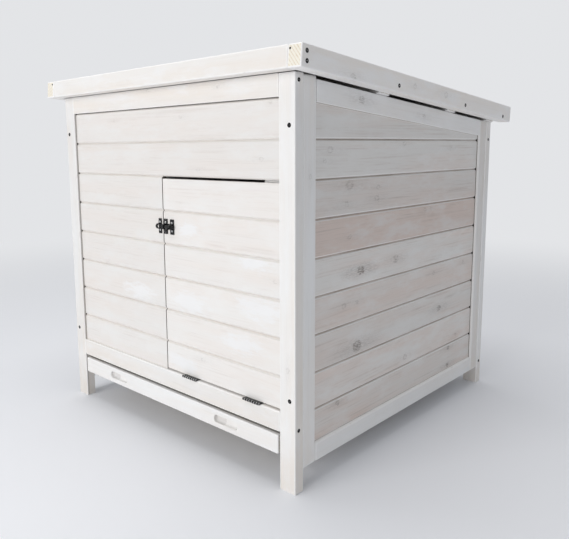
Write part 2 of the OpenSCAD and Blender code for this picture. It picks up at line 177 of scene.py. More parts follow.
class NodeBench:
    """Short ways to add nodes to one tree and join them."""

    def __init__(self, tree: bpy.types.NodeTree) -> None:
        """Keep the tree that the nodes go into."""
        self.tree = tree

    def put(self, socket: Socket, value: Value) -> None:
        """Link an input to an output, or set it to a number, a colour or a vector.

        Args:
            socket: The input.
            value: The output or the value.
        """
        if isinstance(value, Socket):
            self.tree.links.new(value, socket)
            return
        if socket.type == "RGBA" and len(value) == 3:
            value = (*value, 1.0)
        socket.default_value = value

    def add(self, kind: str, inputs: Optional[dict] = None, **settings: object) -> bpy.types.Node:
        """Add a node.

        Args:
            kind: The node's type, without its ShaderNode prefix.
            inputs: Values or sockets for its inputs, by name or index.
            settings: The node's own properties.

        Returns:
            The new node.
        """
        node = self.tree.nodes.new("ShaderNode" + kind)
        for name, setting in settings.items():
            setattr(node, name, setting)
        for key, value in (inputs or {}).items():
            self.put(node.inputs[key], value)
        return node

    def math(self, operation: str, first: Value, *others: Value) -> Socket:
        """Join Math nodes in a chain.

        Args:
            operation: What the nodes do.
            first: The first value.
            others: The values that follow, if any.

        Returns:
            The chain's result.
        """
        for other in others or (0.0,):
            first = self.add("Math", {0: first, 1: other}, operation=operation).outputs[0]
        return first

    def times(self, *values: Value) -> Socket:
        """The product of values."""
        return self.math("MULTIPLY", *values)

    def plus(self, *values: Value) -> Socket:
        """The sum of values."""
        return self.math("ADD", *values)

    def vector(self, operation: str, first: Value, second: Value) -> Socket:
        """The vector that a Vector Math node gives for two vectors."""
        return self.add("VectorMath", {0: first, 1: second}, operation=operation).outputs[0]

    def length(self, vector: Value, scale: Triple = (1.0, 1.0, 1.0)) -> Socket:
        """The length of a vector that is first scaled along each axis."""
        scaled = self.vector("MULTIPLY", vector, scale)
        return self.add("VectorMath", {0: scaled}, operation="LENGTH").outputs["Value"]

    def ease(self, value: Value, low: float, high: float) -> Socket:
        """A smooth step of the value from 0 at low to 1 at high."""
        inputs = {"Value": value, "From Min": low, "From Max": high}
        return self.add("MapRange", inputs, interpolation_type="SMOOTHSTEP").outputs["Result"]

    def fall(self, value: Value, low: float, high: float) -> Socket:
        """A smooth step of the value from 1 at low to 0 at high."""
        return self.math("SUBTRACT", 1.0, self.ease(value, low, high))

    def mix(self, factor: Value, first: Value, second: Value, blend: str = "MIX") -> Socket:
        """A colour mixed from two by a factor."""
        node = self.add("Mix", {0: factor, 6: first, 7: second}, data_type="RGBA", blend_type=blend)
        return node.outputs[2]

    def noise(self, vector: Value, stretch: Triple, detail: float = 3.0, rough: float = 0.55) -> Socket:
        """Noise of about 0.5, with so many features per metre along each axis."""
        inputs = {"Vector": self.vector("MULTIPLY", vector, stretch), "Scale": 1.0}
        return self.add("TexNoise", inputs | {"Detail": detail, "Roughness": rough}).outputs["Fac"]

    def bump(self, height: Socket, strength: float, distance: float) -> Socket:
        """A normal bumped by a height."""
        inputs = {"Height": height, "Strength": strength, "Distance": distance}
        return self.add("Bump", inputs).outputs["Normal"]


class MaterialBench(NodeBench):
    """The nodes of a new material, with its shader at hand."""

    def __init__(self, name: str) -> None:
        """Make the material.

        Args:
            name: The material's name.
        """
        self.material = bpy.data.materials.new(name)
        self.material.use_nodes = True
        super().__init__(self.material.node_tree)
        self.shader = self.tree.nodes["Principled BSDF"]

    def shade(self, inputs: dict[str, Value]) -> Material:
        """Fill the shader's inputs.

        Args:
            inputs: Values or sockets by the inputs' names.

        Returns:
            The material.
        """
        for name, value in inputs.items():
            self.put(self.shader.inputs[name], value)
        return self.material


class NodeGroup:
    """A shader node group with named inputs and outputs, built once."""

    def __init__(self, name: str, inputs: dict[str, str], outputs: dict[str, str]) -> None:
        """Make the empty group.

        Args:
            name: The group's name.
            inputs: Each input's kind, such as Float, Vector or Color, by its name.
            outputs: Each output's kind by its name.
        """
        self.tree = bpy.data.node_groups.new(name, "ShaderNodeTree")
        for way, sockets in (("INPUT", inputs), ("OUTPUT", outputs)):
            for label, kind in sockets.items():
                self.tree.interface.new_socket(label, in_out=way, socket_type="NodeSocket" + kind)
        self.bench = NodeBench(self.tree)
        self.given = self.tree.nodes.new("NodeGroupInput")
        self.result = self.tree.nodes.new("NodeGroupOutput")

    def take(self, name: str) -> Socket:
        """The group's input as a socket inside it."""
        return self.given.outputs[name]

    def give(self, name: str, value: Socket) -> None:
        """Send a socket to the group's output."""
        self.bench.put(self.result.inputs[name], value)

    def spread(self, mark: Socket, place: Socket, squash: Triple, ragged: Socket) -> Socket:
        """Distance from a mark as a share of its radius, with a ragged outline.

        Args:
            mark: The mark's vector.
            place: The coordinates, in metres.
            squash: How its outline is squashed along each axis.
            ragged: What is added to the share.

        Returns:
            The share, 1 on the outline.
        """
        offset = self.bench.vector("SUBTRACT", place, mark)
        away = self.bench.math("DIVIDE", self.bench.length(offset, squash), self.radius(mark))
        return self.bench.plus(away, ragged)

    def coded(self, mark: Socket) -> Socket:
        """A mark's third number, its vigour in whole tenths plus its radius."""
        return self.bench.add("SeparateXYZ", {0: mark}).outputs["Z"]

    def radius(self, mark: Socket) -> Socket:
        """A mark's radius, never 0."""
        return self.bench.math("MAXIMUM", self.bench.math("FRACT", self.coded(mark)), TINY)


class KnotGroup(NodeGroup):
    """Core, dark ring and pale halo of one knot.

    Attributes:
        SHAPE: Squash of a knot along the grain and across it.
        SMEAR: Squash of its halo.
        RAGGED: Unevenness of its outline, in metres.
    """

    SHAPE = (0.85, 1.15, 0.0)
    SMEAR = (0.22, 1.0, 0.0)
    RAGGED = 0.0125

    def __init__(self) -> None:
        """Build the group's nodes."""
        super().__init__("knot_mark", {"Grain": "Vector", "Knot": "Vector"},
                         {"Core": "Float", "Ring": "Float", "Halo": "Float"})
        bench = self.bench
        grain = self.take("Grain")
        knot = self.take("Knot")
        wobble = bench.plus(bench.noise(grain, (210.0, 300.0, 60.0), detail=5.0, rough=0.75), -0.5)
        wobble = bench.times(wobble, bench.math("DIVIDE", self.RAGGED, self.radius(knot)))
        share = self.spread(knot, grain, self.SHAPE, wobble)
        smear = self.spread(knot, grain, self.SMEAR, wobble)
        force = bench.times(bench.math("FLOOR", self.coded(knot)), 0.1)
        scratchy = bench.noise(grain, (120.0, 800.0, 80.0))
        vigour = bench.times(force, bench.plus(bench.ease(scratchy, 0.38, 0.60), 0.2))
        masks = {
            "Core": bench.times(bench.fall(share, 0.1, 0.8), bench.ease(force, 0.45, 0.75)),
            "Ring": bench.times(bench.fall(share, 0.8, 1.5), bench.ease(share, 0.3, 0.9)),
            "Halo": bench.fall(smear, 0.5, 2.6),
        }
        for name, mask in masks.items():
            self.give(name, bench.times(mask, vigour))


class WhitewashGroup(NodeGroup):
    """Thin white paint over softwood: fibres, bands, daubs, knots, dirt in the joints, bare ends, painted
    highlights on edges and painted shade in gaps and slots.

    Attributes:
        COATS: The colours that a finish gives.
        AMOUNTS: The amounts that a finish gives.
        KNOT_COATS: Share and colour of each part of a knot.
        DAUB: Colour of thick daubs.
        DAUB_SHAPE: Squash of a daub along the grain and across it.
        SOIL: Colour of the shade painted on faces in gaps and shadowed corners.
        SLOT_SHADE: Colour of the shade painted inside the slots.
        RING_PITCH: Distance between growth rings on a sawn end, in metres.
        EARLY_WOOD: Colour of a sawn end between the rings.
        LATE_WOOD: Colour of the rings.
    """

    COATS = ("cool", "warm", "thick", "bare", "lip", "dirt")
    AMOUNTS = ("fibre", "knots")
    KNOT_COATS = {"Halo": (0.34, (0.42, 0.39, 0.37)), "Core": (0.85, (0.20, 0.17, 0.15)),
                  "Ring": (0.7, (0.22, 0.18, 0.16))}
    DAUB = (0.87, 0.875, 0.88)
    DAUB_SHAPE = (0.5, 1.3, 0.0)
    SOIL = (0.15, 0.125, 0.105)
    SLOT_SHADE = (0.03, 0.026, 0.022)
    RING_PITCH = 0.0042
    EARLY_WOOD = (0.84, 0.79, 0.66)
    LATE_WOOD = (0.66, 0.54, 0.36)

    def __init__(self, knot_group: KnotGroup) -> None:
        """Build the group's nodes.

        Args:
            knot_group: The group that marks one knot.
        """
        kinds = ((POINT_LAYERS, "Vector"), (FACE_LAYERS, "Float"), (self.COATS, "Color"),
                 (self.AMOUNTS, "Float"))
        super().__init__("whitewash_grain", {name: kind for names, kind in kinds for name in names},
                         {"Color": "Color", "Roughness": "Float", "Height": "Float"})
        self.grain = self.take("grain")
        bench = self.bench
        board = bench.add("SeparateXYZ", {0: self.take("board")}).outputs
        fibre = bench.noise(self.grain, (16.0, 520.0, 520.0), detail=4.0, rough=0.6)
        lines = bench.noise(self.grain, (5.0, 260.0, 260.0), rough=0.5)
        colour = self.painted(board["X"], board["Y"], fibre, lines)
        colour, knot_height = self.knotted(colour, knot_group)
        colour = self.daubed(colour)
        colour = self.jointed(colour, board["Z"])
        self.give("Color", self.bared(colour, fibre))
        self.give("Roughness", bench.plus(bench.times(fibre, 0.22), 0.60))
        self.give("Height", bench.plus(bench.times(fibre, 0.6), bench.times(lines, 0.5), knot_height))

    def painted(self, warmth: Socket, value: Socket, fibre: Socket, lines: Socket) -> Socket:
        """Lay the paint with the board's own tone and the wood's grain showing through.

        Args:
            warmth: The board's warmth.
            value: The board's brightness.
            fibre: Fine streaks.
            lines: Wider growth lines.

        Returns:
            The painted colour.
        """
        bench = self.bench
        bands = bench.noise(self.grain, (3.0, 26.0, 26.0), detail=4.0)
        patch = bench.noise(self.grain, (11.0, 34.0, 34.0), detail=5.0, rough=0.65)
        warm = bench.plus(bench.times(bench.plus(bands, -0.5), 2.3), bench.times(warmth, 0.5), 0.36)
        colour = bench.mix(warm, self.take("cool"), self.take("warm"))
        thin = bench.times(self.take("fibre"), bench.fall(patch, 0.36, 0.62))
        for streak in (bench.ease(fibre, 0.5, 0.78), bench.ease(lines, 0.52, 0.72)):
            colour = bench.mix(bench.times(streak, thin), colour, self.take("bare"))
        thick = bench.times(bench.ease(patch, 0.46, 0.68), 0.55)
        colour = bench.mix(thick, colour, self.take("thick"))
        bright = bench.plus(bench.times(value, 0.10), 1.0)
        return bench.mix(1.0, colour, bright, blend="MULTIPLY")

    def knotted(self, colour: Socket, knot_group: KnotGroup) -> tuple[Socket, Socket]:
        """Lay the board's knots over its paint.

        Args:
            colour: The colour so far.
            knot_group: The group that marks one knot.

        Returns:
            The colour with the knots, and their height.
        """
        bench = self.bench
        marks = [bench.add("Group", {"Grain": self.grain, "Knot": self.take(name)}, node_tree=knot_group.tree)
                 for name in KNOT_LAYERS]
        masks = {part: bench.math("MAXIMUM", *(mark.outputs[part] for mark in marks))
                 for part in self.KNOT_COATS}
        for part, (share, coat) in self.KNOT_COATS.items():
            colour = bench.mix(bench.times(masks[part], self.take("knots"), share), colour, coat)
        return colour, bench.times(masks["Ring"], -0.7)

    def daubed(self, colour: Socket) -> Socket:
        """Lay thick daubs of white paint.

        Args:
            colour: The colour so far.

        Returns:
            The colour with the daubs.
        """
        bench = self.bench
        ragged = bench.noise(self.grain, (34.0, 110.0, 60.0), detail=5.0, rough=0.7)
        ragged = bench.times(bench.plus(ragged, -0.5), 2.4)
        for name in DAUB_LAYERS:
            share = self.spread(self.take(name), self.grain, self.DAUB_SHAPE, ragged)
            colour = bench.mix(bench.times(bench.fall(share, 0.35, 1.15), 0.75), colour, self.DAUB)
        return colour

    def jointed(self, colour: Socket, depth: Socket) -> Socket:
        """Paint light on the lips of the joints between boards, dirty their roots, and paint shade in gaps and
        slots.

        Args:
            colour: The colour so far.
            depth: Depth under the board's face, in metres.

        Returns:
            The colour with the joints.
        """
        bench = self.bench
        # Painted highlight, on the front a painted shade, along the bevels' outer edges.
        lip = bench.times(bench.ease(depth, 0.00005, 0.0005), bench.fall(depth, 0.0010, 0.0020), 0.85)
        colour = bench.mix(lip, colour, self.take("lip"))
        # Joint roots take real dirt; at a slot's mouth the same colour is painted shade.
        grime = bench.noise(self.grain, (9.0, 60.0, 60.0), detail=4.0)
        root = bench.times(bench.ease(depth, 0.0011, 0.0026), bench.ease(grime, 0.25, 0.70), 0.9)
        colour = bench.mix(root, colour, self.take("dirt"))
        # Painted shade on faces marked as lying in a gap or in shadow.
        colour = bench.mix(bench.times(self.take("soiled"), 0.9), colour, self.SOIL)
        # Painted shade: points deep in a slot turn near black.
        return bench.mix(bench.ease(depth, 0.7 * DEEP, DEEP), colour, self.SLOT_SHADE)

    def bared(self, colour: Socket, fibre: Socket) -> Socket:
        """Paint a highlight on rounded edges, and show bare wood on sawn ends and in places along those edges.

        Args:
            colour: The colour so far.
            fibre: Fine streaks.

        Returns:
            The colour with its bare places.
        """
        bench = self.bench
        worn = self.take("worn")
        # Painted highlight on rounded edges.
        colour = bench.mix(bench.times(worn, 0.7), colour, self.take("lip"))
        chips = bench.noise(self.grain, (70.0, 120.0, 120.0), detail=4.0)
        colour = bench.mix(bench.times(bench.ease(chips, 0.60, 0.72), worn, 0.2), colour, self.take("bare"))
        rings = bench.times(bench.length(self.grain, (0.0, 1.0, 1.0)), math.tau / self.RING_PITCH)
        rings = bench.plus(bench.times(bench.math("SINE", rings), 0.35), fibre)
        raw = bench.mix(bench.ease(rings, 0.45, 0.95), self.EARLY_WOOD, self.LATE_WOOD)
        return bench.mix(self.take("end_grain"), colour, raw)


@dataclass(frozen=True)
class Whitewash:
    """A whitewashed timber finish.

    Attributes:
        name: The material's name.
        cool: Paint over grey wood.
        warm: Paint over pink wood.
        thick: Paint where it lies thick.
        bare: Wood that shows through.
        lip: Painted highlight on the bevels of the joints and on rounded edges; the front's is a slightly
            darker painted shade.
        dirt: Dirt in the joints; the same colour is painted shade at the slots' mouths and, on the strips,
            inside them.
        fibre: How much grain shows through, from 0 to 1.
        knots: How strongly knots show through, from 0 to 1.
        bump: Strength of the raised grain.
        raised: Height of the raised grain, in metres.
        gloss: The paint's specular level.
    """

    name: str
    cool: Colour = (0.805, 0.788, 0.762)
    warm: Colour = (0.805, 0.690, 0.630)
    thick: Colour = (0.85, 0.845, 0.83)
    bare: Colour = (0.55, 0.475, 0.425)
    lip: Colour = (0.95, 0.94, 0.93)
    dirt: Colour = (0.46, 0.395, 0.345)
    fibre: float = 0.42
    knots: float = 0.9
    bump: float = 0.30
    raised: float = 0.0006
    gloss: float = 0.3

    def material(self, group: WhitewashGroup) -> Material:
        """Make the finish's material.

        Args:
            group: The shared whitewash group.

        Returns:
            The material.
        """
        bench = MaterialBench(self.name)
        inputs = {name: getattr(self, name) for name in (*group.COATS, *group.AMOUNTS)}
        for names, output in ((POINT_LAYERS, "Vector"), (FACE_LAYERS, "Fac")):
            for name in names:
                inputs[name] = bench.add("Attribute", attribute_name=name).outputs[output]
        wash = bench.add("Group", inputs, node_tree=group.tree).outputs
        return bench.shade({
            "Base Color": wash["Color"], "Roughness": wash["Roughness"], "Specular IOR Level": self.gloss,
            "Normal": bench.bump(wash["Height"], self.bump, self.raised),
        })


@dataclass(frozen=True)
class BlackIron:
    """Black lacquered iron, rubbed to grey in places.

    Attributes:
        name: The material's name.
        lacquer: The lacquer's colour.
        rubbed: The colour where it is rubbed.
        metallic: How metallic it looks.
        gloss: Its specular level.
    """

    name: str = "black_iron"
    lacquer: Colour = (0.014, 0.014, 0.015)
    rubbed: Colour = (0.12, 0.12, 0.12)
    metallic: float = 0.1
    gloss: float = 0.3

    def material(self) -> Material:
        """Make the finish's material.

        Returns:
            The material.
        """
        bench = MaterialBench(self.name)
        place = bench.add("TexCoord").outputs["Object"]
        coarse = bench.noise(place, (160.0, 160.0, 160.0))
        fine = bench.noise(place, (1400.0, 1400.0, 1400.0), detail=2.0)
        rub = bench.times(bench.ease(coarse, 0.56, 0.74), 0.4)
        return bench.shade({
            "Base Color": bench.mix(rub, self.lacquer, self.rubbed), "Metallic": self.metallic,
            "Roughness": bench.plus(bench.times(coarse, 0.2), 0.16), "Specular IOR Level": self.gloss,
            "Normal": bench.bump(fine, 0.25, 0.0002),
        })


@dataclass(frozen=True)
class BrightSteel:
    """Bright steel of screws, and of the hinge knuckles' rounded ends, where it is a painted highlight.

    Attributes:
        name: The material's name.
        colour: The metal's colour.
        dulled: Its colour where it is dull.
        roughness: Its roughness.
        metallic: How metallic it looks.
    """

    name: str = "bright_steel"
    colour: Colour = (0.80, 0.80, 0.79)
    dulled: Colour = (0.44, 0.44, 0.4345)
    roughness: float = 0.34
    metallic: float = 0.6

    def material(self) -> Material:
        """Make the finish's material.

        Returns:
            The material.
        """
        bench = MaterialBench(self.name)
        dull = bench.noise(bench.add("TexCoord").outputs["Object"], (700.0, 700.0, 700.0), detail=2.0)
        colour = bench.mix(bench.ease(dull, 0.45, 0.75), self.colour, self.dulled)
        return bench.shade({"Base Color": colour, "Roughness": self.roughness, "Metallic": self.metallic})


@dataclass(frozen=True)
class Finishes:
    """The materials that the pieces share.

    Attributes:
        strips: Whitewash on the sawn strips.
        boards: Whitewash on the boards of the sides, back and roof.
        front: Whitewash on the front's boards.
        tray: The tray's bare bottom.
        iron: Black iron.
        steel: Bright steel.
    """

    strips: Material
    boards: Material
    front: Material
    tray: Material
    iron: Material
    steel: Material


@dataclass
class SubAssembly(ABC):
    """A part of the box that builds its own pieces.

    Attributes:
        finishes: The materials that the pieces share.
    """

    finishes: Finishes

    @abstractmethod
    def build(self) -> None:
        """Build the pieces and dress them."""


def only(geom: Iterable, kind: type) -> list:
    """The elements of one kind among those that an operator gave."""
    return [item for item in geom if isinstance(item, kind)]


def edges_at(verts: Iterable[BMVert]) -> list[BMEdge]:
    """The edges that meet some points, each once."""
    return list(dict.fromkeys(edge for vert in verts for edge in vert.link_edges))


def faces_at(verts: Iterable[BMVert]) -> list[BMFace]:
    """The faces that meet some points, each once."""
    return list(dict.fromkeys(face for vert in verts for face in vert.link_faces))


def add_box(bm: BMesh, low: Vector, high: Vector) -> list[BMVert]:
    """Add a box between two corners and give its points."""
    scale = Matrix.Translation((low + high) / 2) @ Matrix.Diagonal((*(high - low), 1.0))
    return bmesh.ops.create_cube(bm, size=1.0, matrix=scale)["verts"]


def add_prism(bm: BMesh, outline: Iterable[Sequence[float]], length: float) -> list[BMVert]:
    """Add a prism along X.

    Args:
        bm: The mesh.
        outline: The points of its first end, in order.
        length: Its length.

    Returns:
        The points of its first end.
    """
    section = [bm.verts.new(point) for point in outline]
    grown = bmesh.ops.extrude_face_region(bm, geom=[bm.faces.new(section)], use_keep_orig=True)["geom"]
    bmesh.ops.translate(bm, vec=(length, 0.0, 0.0), verts=only(grown, BMVert))
    return section


def round_off(bm: BMesh, edges: list[BMEdge], radius: float, segments: int = 2) -> list[BMFace]:
    """Round some edges and give the faces of the rounds."""
    return bmesh.ops.bevel(bm, geom=edges, offset=radius, offset_type="OFFSET", segments=segments,
                           profile=0.5, affect="EDGES", material=-1, clamp_overlap=True)["faces"]


def close_piece(bm: BMesh, name: str, nodes: Sequence[str], body: Body, slot: Slot,
                *materials: Material) -> None:
    """Close a mesh into an object of the scene.

    Args:
        bm: The mesh, which is freed.
        name: The piece's name.
        nodes: The CAD nodes that it replaces, if any.
        body: The body that it rides on.
        slot: Its material slot in the record; not used.
        materials: Its finishes, in the order of their numbers in the mesh.
    """
    bmesh.ops.recalc_face_normals(bm, faces=list(bm.faces))
    mesh = bpy.data.meshes.new(name)
    bm.to_mesh(mesh)
    bm.free()
    for material in materials:
        mesh.materials.append(material)
    made = bpy.data.objects.new(name, mesh)
    bpy.context.scene.collection.objects.link(made)
    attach(made, body.value)
    if nodes:
        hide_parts(*nodes)
    LOG.info("%s: %d faces, on %s", name, len(mesh.polygons), body.value)


def ends_of(node: str, width: float) -> list[tuple[Vector, Vector]]:
    """The lowest and highest corner of each of two alike strips that are one CAD node."""
    low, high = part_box(node)
    return [(low, Vector((low.x + width, high.y, high.z))), (Vector((high.x - width, low.y, low.z)), high)]


@dataclass(frozen=True)
class BoardProfile:
    """Cross-section of a tongued and grooved board with V joints, in metres.

    Attributes:
        pitch: Height from joint to joint.
        thick: Thickness.
        vee_head: Width and depth of the bevel along the board's upper edge.
        vee_foot: Width and depth of the bevel along its lower edge.
        seam: Gap between two boards, where the tongue shows.
        tongue: Reach of the tongue into the next board.
        tongue_at: Depth of the tongue's outer side.
        tongue_t: Thickness of the tongue.
        slack: Room round the tongue.
        lip: Round of the bevels' outer edges.
    """

    pitch: float = 0.058
    thick: float = 0.010
    vee_head: float = 0.0036
    vee_foot: float = 0.0026
    seam: float = 0.0003
    tongue: float = 0.0055
    tongue_at: float = 0.0038
    tongue_t: float = 0.003
    slack: float = 0.0003
    lip: float = 0.0008

    def outline(self, low: float) -> list[Range]:
        """Points of the cross-section, as across and inwards.

        Args:
            low: Place of the joint under the board.

        Returns:
            The points in order.
        """
        foot = low + self.seam / 2
        head = low + self.pitch - self.seam / 2
        tip = head + self.tongue
        roof = foot + self.tongue
        near = self.tongue_at
        far = near + self.tongue_t
        return [
            (foot + self.vee_foot, 0.0), (foot, self.vee_foot), (foot, near - self.slack),
            (roof, near - self.slack), (roof, far + self.slack), (foot, far + self.slack),
            (foot, self.thick), (head, self.thick), (head, far), (tip, far), (tip, near), (head, near),
            (head, self.vee_head), (head - self.vee_head, 0.0),
        ]


@dataclass(frozen=True)
class Housing:
    """A slot in a strip that holds boards.

    Attributes:
        low: Lowest corner of the slot.
        high: Highest corner of the slot.
        thin: The axis of the boards' thickness.
        axis: The axis that it is sunk along.
        facing: 1 if its mouth looks up that axis, -1 if down.
        RAIL_SLACK: Room at each side of the boards in a rail.
        UPRIGHT_SLACK: Room at each side of the boards in an upright.
    """

    low: Vector
    high: Vector
    thin: int
    axis: int
    facing: float
    RAIL_SLACK: ClassVar[float] = 0.0001
    UPRIGHT_SLACK: ClassVar[float] = 0.0006

    @classmethod
    def for_boards(cls, strip: str, boards: str) -> Optional[Self]:
        """Find the slot that a CAD strip has for a CAD field of boards.

        Args:
            strip: The strip's node.
            boards: The boards' node.

        Returns:
            The slot, or None where the two don't meet.
        """
        strip_low, strip_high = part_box(strip)
        board_low, board_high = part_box(boards)
        low = Vector([max(pair) for pair in zip(strip_low, board_low)])
        high = Vector([min(pair) for pair in zip(strip_high, board_high)])
        if min(high - low) < TINY:
            return None
        thin = min(range(3), key=lambda a: board_high[a] - board_low[a])
        axis = min((a for a in range(3) if a != thin), key=lambda a: high[a] - low[a])
        slack = cls.RAIL_SLACK if axis == 2 else cls.UPRIGHT_SLACK
        low[thin] -= slack
        high[thin] += slack
        facing = 1.0 if high[axis] > strip_high[axis] - TINY else -1.0
        return cls(low, high, thin, axis, facing)

    @property
    def others(self) -> list[int]:
        """The two axes of the mouth."""
        return [a for a in range(3) if a != self.axis]

    def mouth(self) -> Plane:
        """A point of the mouth's plane, and the way into the strip."""
        corner = self.high if self.facing > 0.0 else self.low
        return corner, Vector([-self.facing * float(a == self.axis) for a in range(3)])

    def sink(self, bm: BMesh) -> list[BMVert]:
        """Sink the slot into a strip.

        Args:
            bm: The mesh, which holds that strip alone.

        Returns:
            The slot's inner points.
        """
        for axis in self.others:
            normal = Vector([float(a == axis) for a in range(3)])
            for corner in (self.low, self.high):
                bmesh.ops.bisect_plane(bm, geom=[*bm.verts, *bm.edges, *bm.faces], dist=WELD, plane_co=corner,
                                       plane_no=normal)
        way = self.mouth()[1]
        floor = [face for face in bm.faces if self.holds(face)]
        inner = []
        for step in (LIP, self.high[self.axis] - self.low[self.axis] - LIP):
            grown = bmesh.ops.extrude_face_region(bm, geom=floor)["geom"]
            bmesh.ops.delete(bm, geom=floor, context="FACES_ONLY")
            floor = only(grown, BMFace)
            moved = only(grown, BMVert)
            bmesh.ops.translate(bm, vec=way * step, verts=moved)
            inner += moved
        return inner

    def looks_out(self, face: BMFace) -> bool:
        """Whether a face looks the way of the mouth."""
        face.normal_update()
        return face.normal[self.axis] * self.facing > SAME_WAY

    def holds(self, face: BMFace) -> bool:
        """Whether a face lies in the slot's mouth."""
        middle = face.calc_center_median()
        return self.looks_out(face) and all(self.low[a] < middle[a] < self.high[a] for a in self.others)

    def reveals(self, face: BMFace) -> bool:
        """Tell whether a face of an upright lies beside the mouth, on the box's outer side.

        Args:
            face: The face.

        Returns:
            Whether it does.
        """
        outward = math.copysign(1.0, self.low[self.thin] + self.high[self.thin])
        edge = max(self.low[self.thin] * outward, self.high[self.thin] * outward)
        beside = face.calc_center_median()[self.thin] * outward > edge
        return self.axis != 2 and beside and self.looks_out(face)


class TimberMesh:
    """One mesh of strips and boards whose points carry their grain, tone and marks.

    Attributes:
        SHIFT: Least and greatest shift of a piece's grain from its place, in metres.
        RAW_BOARD_ENDS: How bare the ends of boards without slots are.
    """

    SHIFT = (3.0, 9.0)
    RAW_BOARD_ENDS = 0.6

    def __init__(self) -> None:
        """Start an empty mesh with its layers."""
        self.bm = bmesh.new()
        for name in POINT_LAYERS:
            self.bm.verts.layers.float_vector.new(name)
        for name in FACE_LAYERS:
            self.bm.faces.layers.float.new(name)

    def fresh(self, old: set[BMVert]) -> list[BMVert]:
        """The points that aren't among the old ones."""
        return [vert for vert in self.bm.verts if vert not in old]

    def strip(self, low: Vector, high: Vector, paint: Paint, arris: float = 0.0020, raw_ends: float = 0.35,
              housings: Sequence[Housing] = (), reveal_shade: float = 0.0,
              placing: Matrix = Matrix.Identity(4)) -> None:
        """Add a sawn strip with eased edges, its grain along its longest side.

        Args:
            low: Its lowest corner before placing.
            high: Its highest corner before placing.
            paint: Its paint, with knots along the strip and across its wider side.
            arris: Round of its edges.
            raw_ends: How bare its sawn ends are, from 0 to 1.
            housings: Slots in it for the ends and edges of boards.
            reveal_shade: Strength of the shade painted on its faces beside those slots.
            placing: Matrix that puts it in the box.
        """
        old = set(self.bm.verts)
        size = high - low
        order = sorted(range(3), key=lambda axis: -size[axis])
        layer = self.bm.faces.layers.float
        edges = edges_at(add_box(self.bm, low, high))
        # Rounded edges carry real wear and a painted highlight.
        for face in round_off(self.bm, edges, arris, segments=3):
            face[layer["worn"]] = 1.0
        for face in faces_at(self.fresh(old)):
            face.normal_update()
            if abs(face.normal[order[0]]) > SAME_WAY:
                face[layer["end_grain"]] = raw_ends
        inner = [vert for housing in housings for vert in housing.sink(self.bm)]
        # Painted shade on the upright's faces beside the boards.
        for face in self.bm.faces if housings else ():
            if any(housing.reveals(face) for housing in housings):
                face[layer["soiled"]] = reveal_shade
        fresh = self.fresh(old)
        self.mark(fresh, order, paint)
        # The slot's inner points take the painted shade of the slot's inside.
        depth = self.bm.verts.layers.float_vector["board"]
        for vert in inner:
            vert[depth].z = DEEP
        bmesh.ops.transform(self.bm, matrix=placing, verts=fresh)

    def board(self, profile: BoardProfile, joint: float, span: Range, paint: Paint,
              mouths: Sequence[Plane], cuts: Sequence[Plane], bare_ends: bool, placing: Matrix) -> None:
        """Add one board, cut to its window.

        Args:
            profile: The board's cross-section.
            joint: Place of the joint under the board.
            span: Where the board starts and ends along the face.
            paint: Its paint.
            mouths: A point on the mouth of each slot that holds it, and the way into the slot.
            cuts: A point on each cutting plane, and the plane's outward normal.
            bare_ends: Whether its ends are bare wood, and not painted with shade.
            placing: Matrix from board space to the box.
        """
        old = set(self.bm.verts)
        start, end = span
        outline = [(start, across, inwards) for across, inwards in profile.outline(joint)]
        lips = [edge for edge in edges_at(add_prism(self.bm, outline, end - start))
                if edge.calc_length() > profile.pitch and max(vert.co.z for vert in edge.verts) < TINY]
        round_off(self.bm, lips, profile.lip)
        # Rings at each slot's mouth carry the shade painted there.
        for point, way in mouths:
            for inside in (-2 * LIP, 0.0, LIP):
                self.split(old, point + way * inside, way)
        for point, way in cuts:
            self.split(old, point, way, trim=True)
        fresh = self.fresh(old)
        layer = self.bm.faces.layers.float
        # Bare ends show raw wood; other ends, and faces cut where they meet a gap, get painted shade.
        for face in faces_at(fresh):
            face.normal_update()
            middle = face.calc_center_median()
            is_end = abs(face.normal.x) > SAME_WAY
            if is_end and bare_ends:
                face[layer["end_grain"]] = self.RAW_BOARD_ENDS
            elif is_end or any(abs((middle - point).dot(way)) < TINY and face.normal.dot(way) > SAME_WAY
                               for point, way in cuts):
                face[layer["soiled"]] = 1.0
        self.mark(fresh, (0, 1, 2), paint)
        depth = self.bm.verts.layers.float_vector["board"]
        for vert in fresh:
            vert[depth].z = self.dirt_depth(vert.co, profile, mouths)
        bmesh.ops.transform(self.bm, matrix=placing, verts=fresh)

    @staticmethod
    def dirt_depth(point: Vector, profile: BoardProfile, mouths: Sequence[Plane]) -> float:
        """Depth that sets the dirt and the painted shade on a point of a board.

        Args:
            point: The point, in board space.
            profile: The board's cross-section.
            mouths: A point on the mouth of each slot that holds the board, and the way into the slot.

        Returns:
            The point's own depth, 0 on the board's back, or more in a slot and at its mouth, where it gives
            painted shade.
        """
        inside = max(((point - mouth).dot(way) for mouth, way in mouths), default=-1.0)
        if inside > LIP / 2:
            return DEEP
        if point.z > profile.thick - TINY:
            return 0.0
        if inside > -LIP / 2:
            return DEEP if point.z > LIP else profile.vee_head
        return point.z

